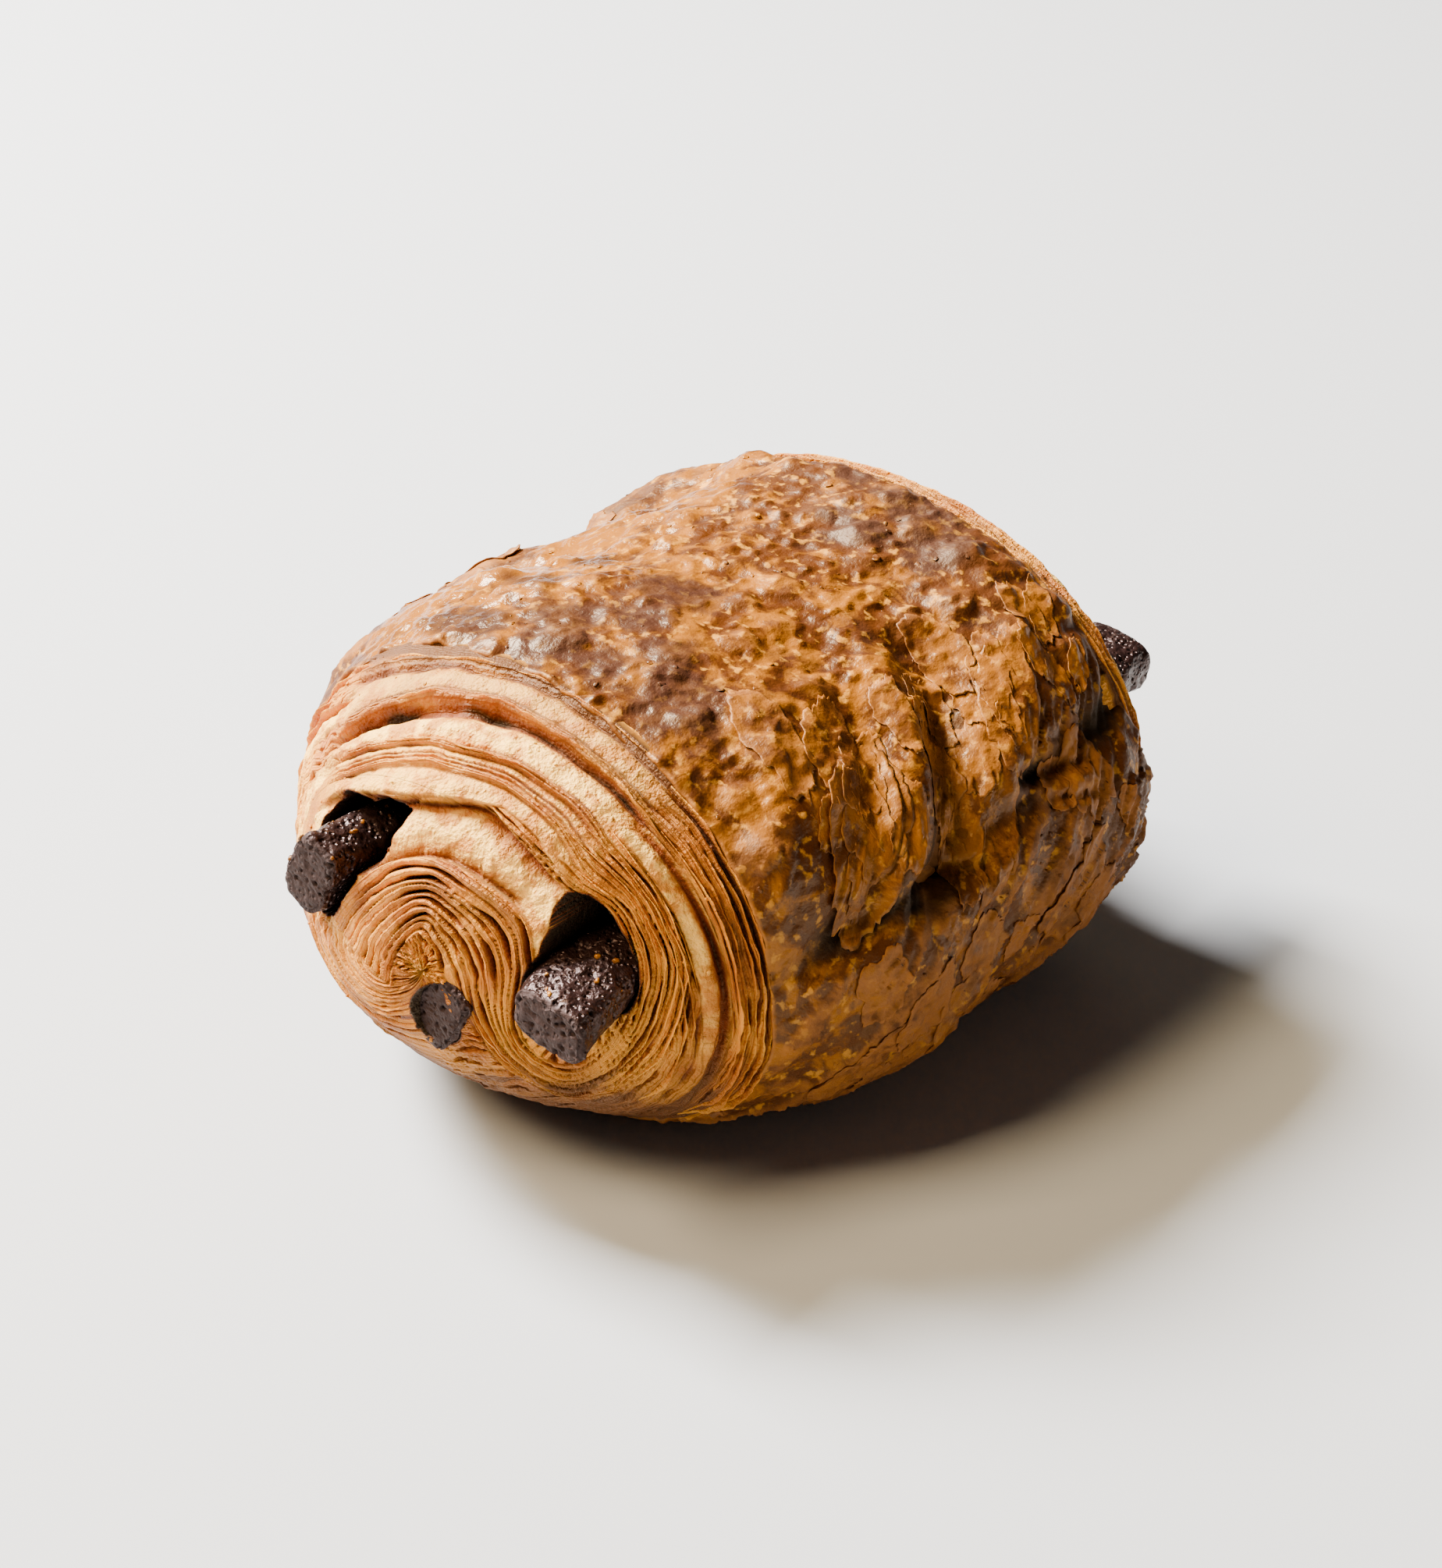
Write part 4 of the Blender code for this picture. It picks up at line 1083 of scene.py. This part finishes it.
def strew(name, hosts, looks, material):
    joined = bmesh.new()
    for host in hosts:
        joined.from_mesh(host.data)
    mesh = bpy.data.meshes.new(name)
    joined.to_mesh(mesh)
    joined.free()
    made = addObject(name, mesh)
    tree = bpy.data.node_groups.new(name, "GeometryNodeTree")
    tree.interface.new_socket("Geometry", in_out="INPUT", socket_type="NodeSocketGeometry")
    values = {
        "Per area": looks["perArea"], "Smallest": looks["size"][0] * mm, "Largest": looks["size"][1] * mm,
        "Flatness": looks["flat"], "Upward": looks["upward"], "To X": looks["toX"] * mm,
    }
    sockets = {}
    for label in values:
        sockets[label] = tree.interface.new_socket(label, in_out="INPUT", socket_type="NodeSocketFloat")
    tree.interface.new_socket("Geometry", in_out="OUTPUT", socket_type="NodeSocketGeometry")
    given = tree.nodes.new("NodeGroupInput").outputs
    seed = looks["seed"]
    normal = addNode(tree, "GeometryNodeInputNormal").outputs[0]
    upward = addNode(tree, "ShaderNodeSeparateXYZ", None, {0: normal}).outputs[2]
    facesUp = addNode(tree, "ShaderNodeMath", {"operation": "GREATER_THAN"}, {
        0: upward, 1: given["Upward"]}).outputs[0]
    place = addNode(tree, "GeometryNodeInputPosition").outputs[0]
    along = addNode(tree, "ShaderNodeSeparateXYZ", None, {0: place}).outputs[0]
    before = addNode(tree, "ShaderNodeMath", {"operation": "LESS_THAN"}, {
        0: along, 1: given["To X"]}).outputs[0]
    chosen = addNode(tree, "ShaderNodeMath", {"operation": "MULTIPLY"}, {0: facesUp, 1: before}).outputs[0]
    spread = addNode(tree, "GeometryNodeDistributePointsOnFaces", {"distribute_method": "RANDOM"}, {
        "Mesh": given["Geometry"], "Selection": chosen, "Density": given["Per area"], "Seed": seed})
    ball = addNode(tree, "GeometryNodeMeshIcoSphere", None, {"Radius": 1.0, "Subdivisions": 2}).outputs[0]
    lumps = addNode(tree, "ShaderNodeTexNoise", None, {"Scale": 1.1, "Detail": 2.0}).outputs["Color"]
    lumps = addNode(tree, "ShaderNodeVectorMath", {"operation": "SUBTRACT"}, {
        0: lumps, 1: (0.5, 0.5, 0.5)}).outputs[0]
    lumps = addNode(tree, "ShaderNodeVectorMath", {"operation": "SCALE"}, {0: lumps, "Scale": 1.6}).outputs[0]
    grain = addNode(tree, "GeometryNodeSetPosition", None, {"Geometry": ball, "Offset": lumps}).outputs[0]
    size = addNode(tree, "FunctionNodeRandomValue", {"data_type": "FLOAT"}, {
        2: given["Smallest"], 3: given["Largest"], "Seed": seed + 1}).outputs[1]
    shape = addNode(tree, "FunctionNodeRandomValue", {"data_type": "FLOAT_VECTOR"}, {
        0: (0.55, 0.55, 0.8), 1: (1.3, 1.3, 1.2), "Seed": seed + 2}).outputs[0]
    flat = addNode(tree, "ShaderNodeCombineXYZ", None, {0: 1.0, 1: 1.0, 2: given["Flatness"]}).outputs[0]
    shape = addNode(tree, "ShaderNodeVectorMath", {"operation": "MULTIPLY"}, {0: shape, 1: flat}).outputs[0]
    shape = addNode(tree, "ShaderNodeVectorMath", {"operation": "SCALE"}, {
        0: shape, "Scale": size}).outputs[0]
    swing = addNode(tree, "FunctionNodeRandomValue", {"data_type": "FLOAT_VECTOR"}, {
        0: (-0.25, -0.25, 0.0), 1: (0.25, 0.25, 6.28), "Seed": seed + 3}).outputs[0]
    turned = addNode(tree, "FunctionNodeRotateRotation", {"rotation_space": "LOCAL"}, {
        0: spread.outputs["Rotation"], 1: swing}).outputs[0]
    placed = addNode(tree, "GeometryNodeInstanceOnPoints", None, {
        "Points": spread.outputs["Points"], "Instance": grain, "Rotation": turned, "Scale": shape}).outputs[0]
    whole = addNode(tree, "GeometryNodeRealizeInstances", None, {0: placed}).outputs[0]
    whole = addNode(tree, "GeometryNodeSetMaterial", None, {
        "Geometry": whole, "Material": material}).outputs[0]
    addNode(tree, "NodeGroupOutput", None, {0: whole})
    modifier = made.modifiers.new(name, "NODES")
    modifier.node_group = tree
    for label, value in values.items():
        modifier[sockets[label].identifier] = value
    graph = bpy.context.evaluated_depsgraph_get()
    plain = bpy.data.meshes.new_from_object(made.evaluated_get(graph))
    made.modifiers.remove(modifier)
    made.data = plain
    plain.materials.clear()
    plain.materials.append(material)
    plain.shade_smooth()
    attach(made, "root")
    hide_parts("pastry")
    print(name, "made,", len(plain.vertices) // 42, "bits")
    return made


crust, crustSurface, crustNormals = makeCrust()
print("crust made")
frontPieces = makeEnd("front", ends["front"])
backPieces = makeEnd("back", ends["back"])
leaves = [makeLeaves(name, zone, crustSurface, crustNormals) for name, zone in leafZones.items()]
frontPaths = [rimPath(ends["front"], *sheet) for sheet in wrapSheets]
frontPaths += [bundlePath(*sheet) for sheet in bundleSheets]
backPaths = [rimPath(ends["back"], *sheet[:3], sheet[3] * farStand) for sheet in farSheets]
frontSheets = makeSheets("frontSheets", ends["front"], frontPaths)
backSheets = makeSheets("backSheets", ends["back"], backPaths)
for piece in [crust, *frontPieces, *backPieces, *leaves, frontSheets, backSheets]:
    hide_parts("pastry")
bars = [makeBaton(batonName) for batonName in batons]
print("batons made")
strew("barCrumbs", bars, strewn["barCrumbs"], crustMaterial)
strew("doughCrumbs", frontPieces, strewn["doughCrumbs"], doughMaterial)
strew("crustFlakes", [crust], strewn["crustFlakes"], crustMaterial)


# Camera, floor and light

view = {
    "lens": 80.6, "azimuth": 41.38, "elevation": 32.32, "roll": 0.63, "distance": 412.7,
    "aim": (0.0, 0.0, 27.0), "shift": (0.0271, 0.0081),
}
cameraData = bpy.data.cameras.new("camera")
cameraData.lens = view["lens"]
cameraData.sensor_width = 36.0
cameraData.shift_x, cameraData.shift_y = view["shift"]
cameraData.clip_start, cameraData.clip_end = 0.01, 10.0
camera = addObject("camera", cameraData)
azimuth, elevation = math.radians(view["azimuth"]), math.radians(view["elevation"])
forward = Vector((
    math.cos(azimuth) * math.cos(elevation), math.sin(azimuth) * math.cos(elevation), -math.sin(elevation)))
aim = Vector((np.array(view["aim"]) + shift) * mm)
turnTo = forward.to_track_quat("-Z", "Y").to_matrix().to_4x4()
turnTo = turnTo @ Matrix.Rotation(math.radians(view["roll"]), 4, "Z")
camera.matrix_world = Matrix.Translation(aim - forward * view["distance"] * mm) @ turnTo
bpy.context.scene.camera = camera

floorMesh = bpy.data.meshes.new("floor")
floorCorners = [(6.0 * x, 6.0 * y, 0) for x, y in ((-1, -1), (1, -1), (1, 1), (-1, 1))]
floorMesh.from_pydata(floorCorners, [], [(0, 1, 2, 3)])
floor = addObject("floor", floorMesh)
floorMaterial, _, floorShader = newMaterial("paleFloor")
floorShader.inputs["Base Color"].default_value = linear("#BABABA")
floorShader.inputs["Roughness"].default_value = 0.9
floorMesh.materials.append(floorMaterial)

lamps = {
    "key": {"from": (-0.10, 0.68, 0.70), "size": 0.34, "power": 73.0, "colour": "#FFFFFF"},
    "left": {"from": (-0.56, 0.30, 0.82), "size": 0.40, "power": 17.0, "colour": "#FFE6BC"},
    "back": {"from": (0.50, 0.78, 0.34), "size": 0.50, "power": 0.7, "colour": "#FFE6C0"},
    "right": {"from": (0.05, -0.80, 0.45), "size": 0.30, "power": 0.15, "colour": "#FFF4E8"},
}
for lampName, lamp in lamps.items():
    data = bpy.data.lights.new(lampName, "AREA")
    data.size, data.energy, data.color = lamp["size"], lamp["power"], linear(lamp["colour"])[:3]
    light = addObject(lampName, data)
    light.location = lamp["from"]
    light.rotation_mode = "QUATERNION"
    light.rotation_quaternion = (aim - light.location).to_track_quat("-Z", "Y")
world = bpy.data.worlds.new("studio")
bpy.context.scene.world = world
world.use_nodes = True
world.node_tree.nodes["Background"].inputs["Color"].default_value = linear("#FFFFFF")
world.node_tree.nodes["Background"].inputs["Strength"].default_value = 0.04
print("camera and light set")
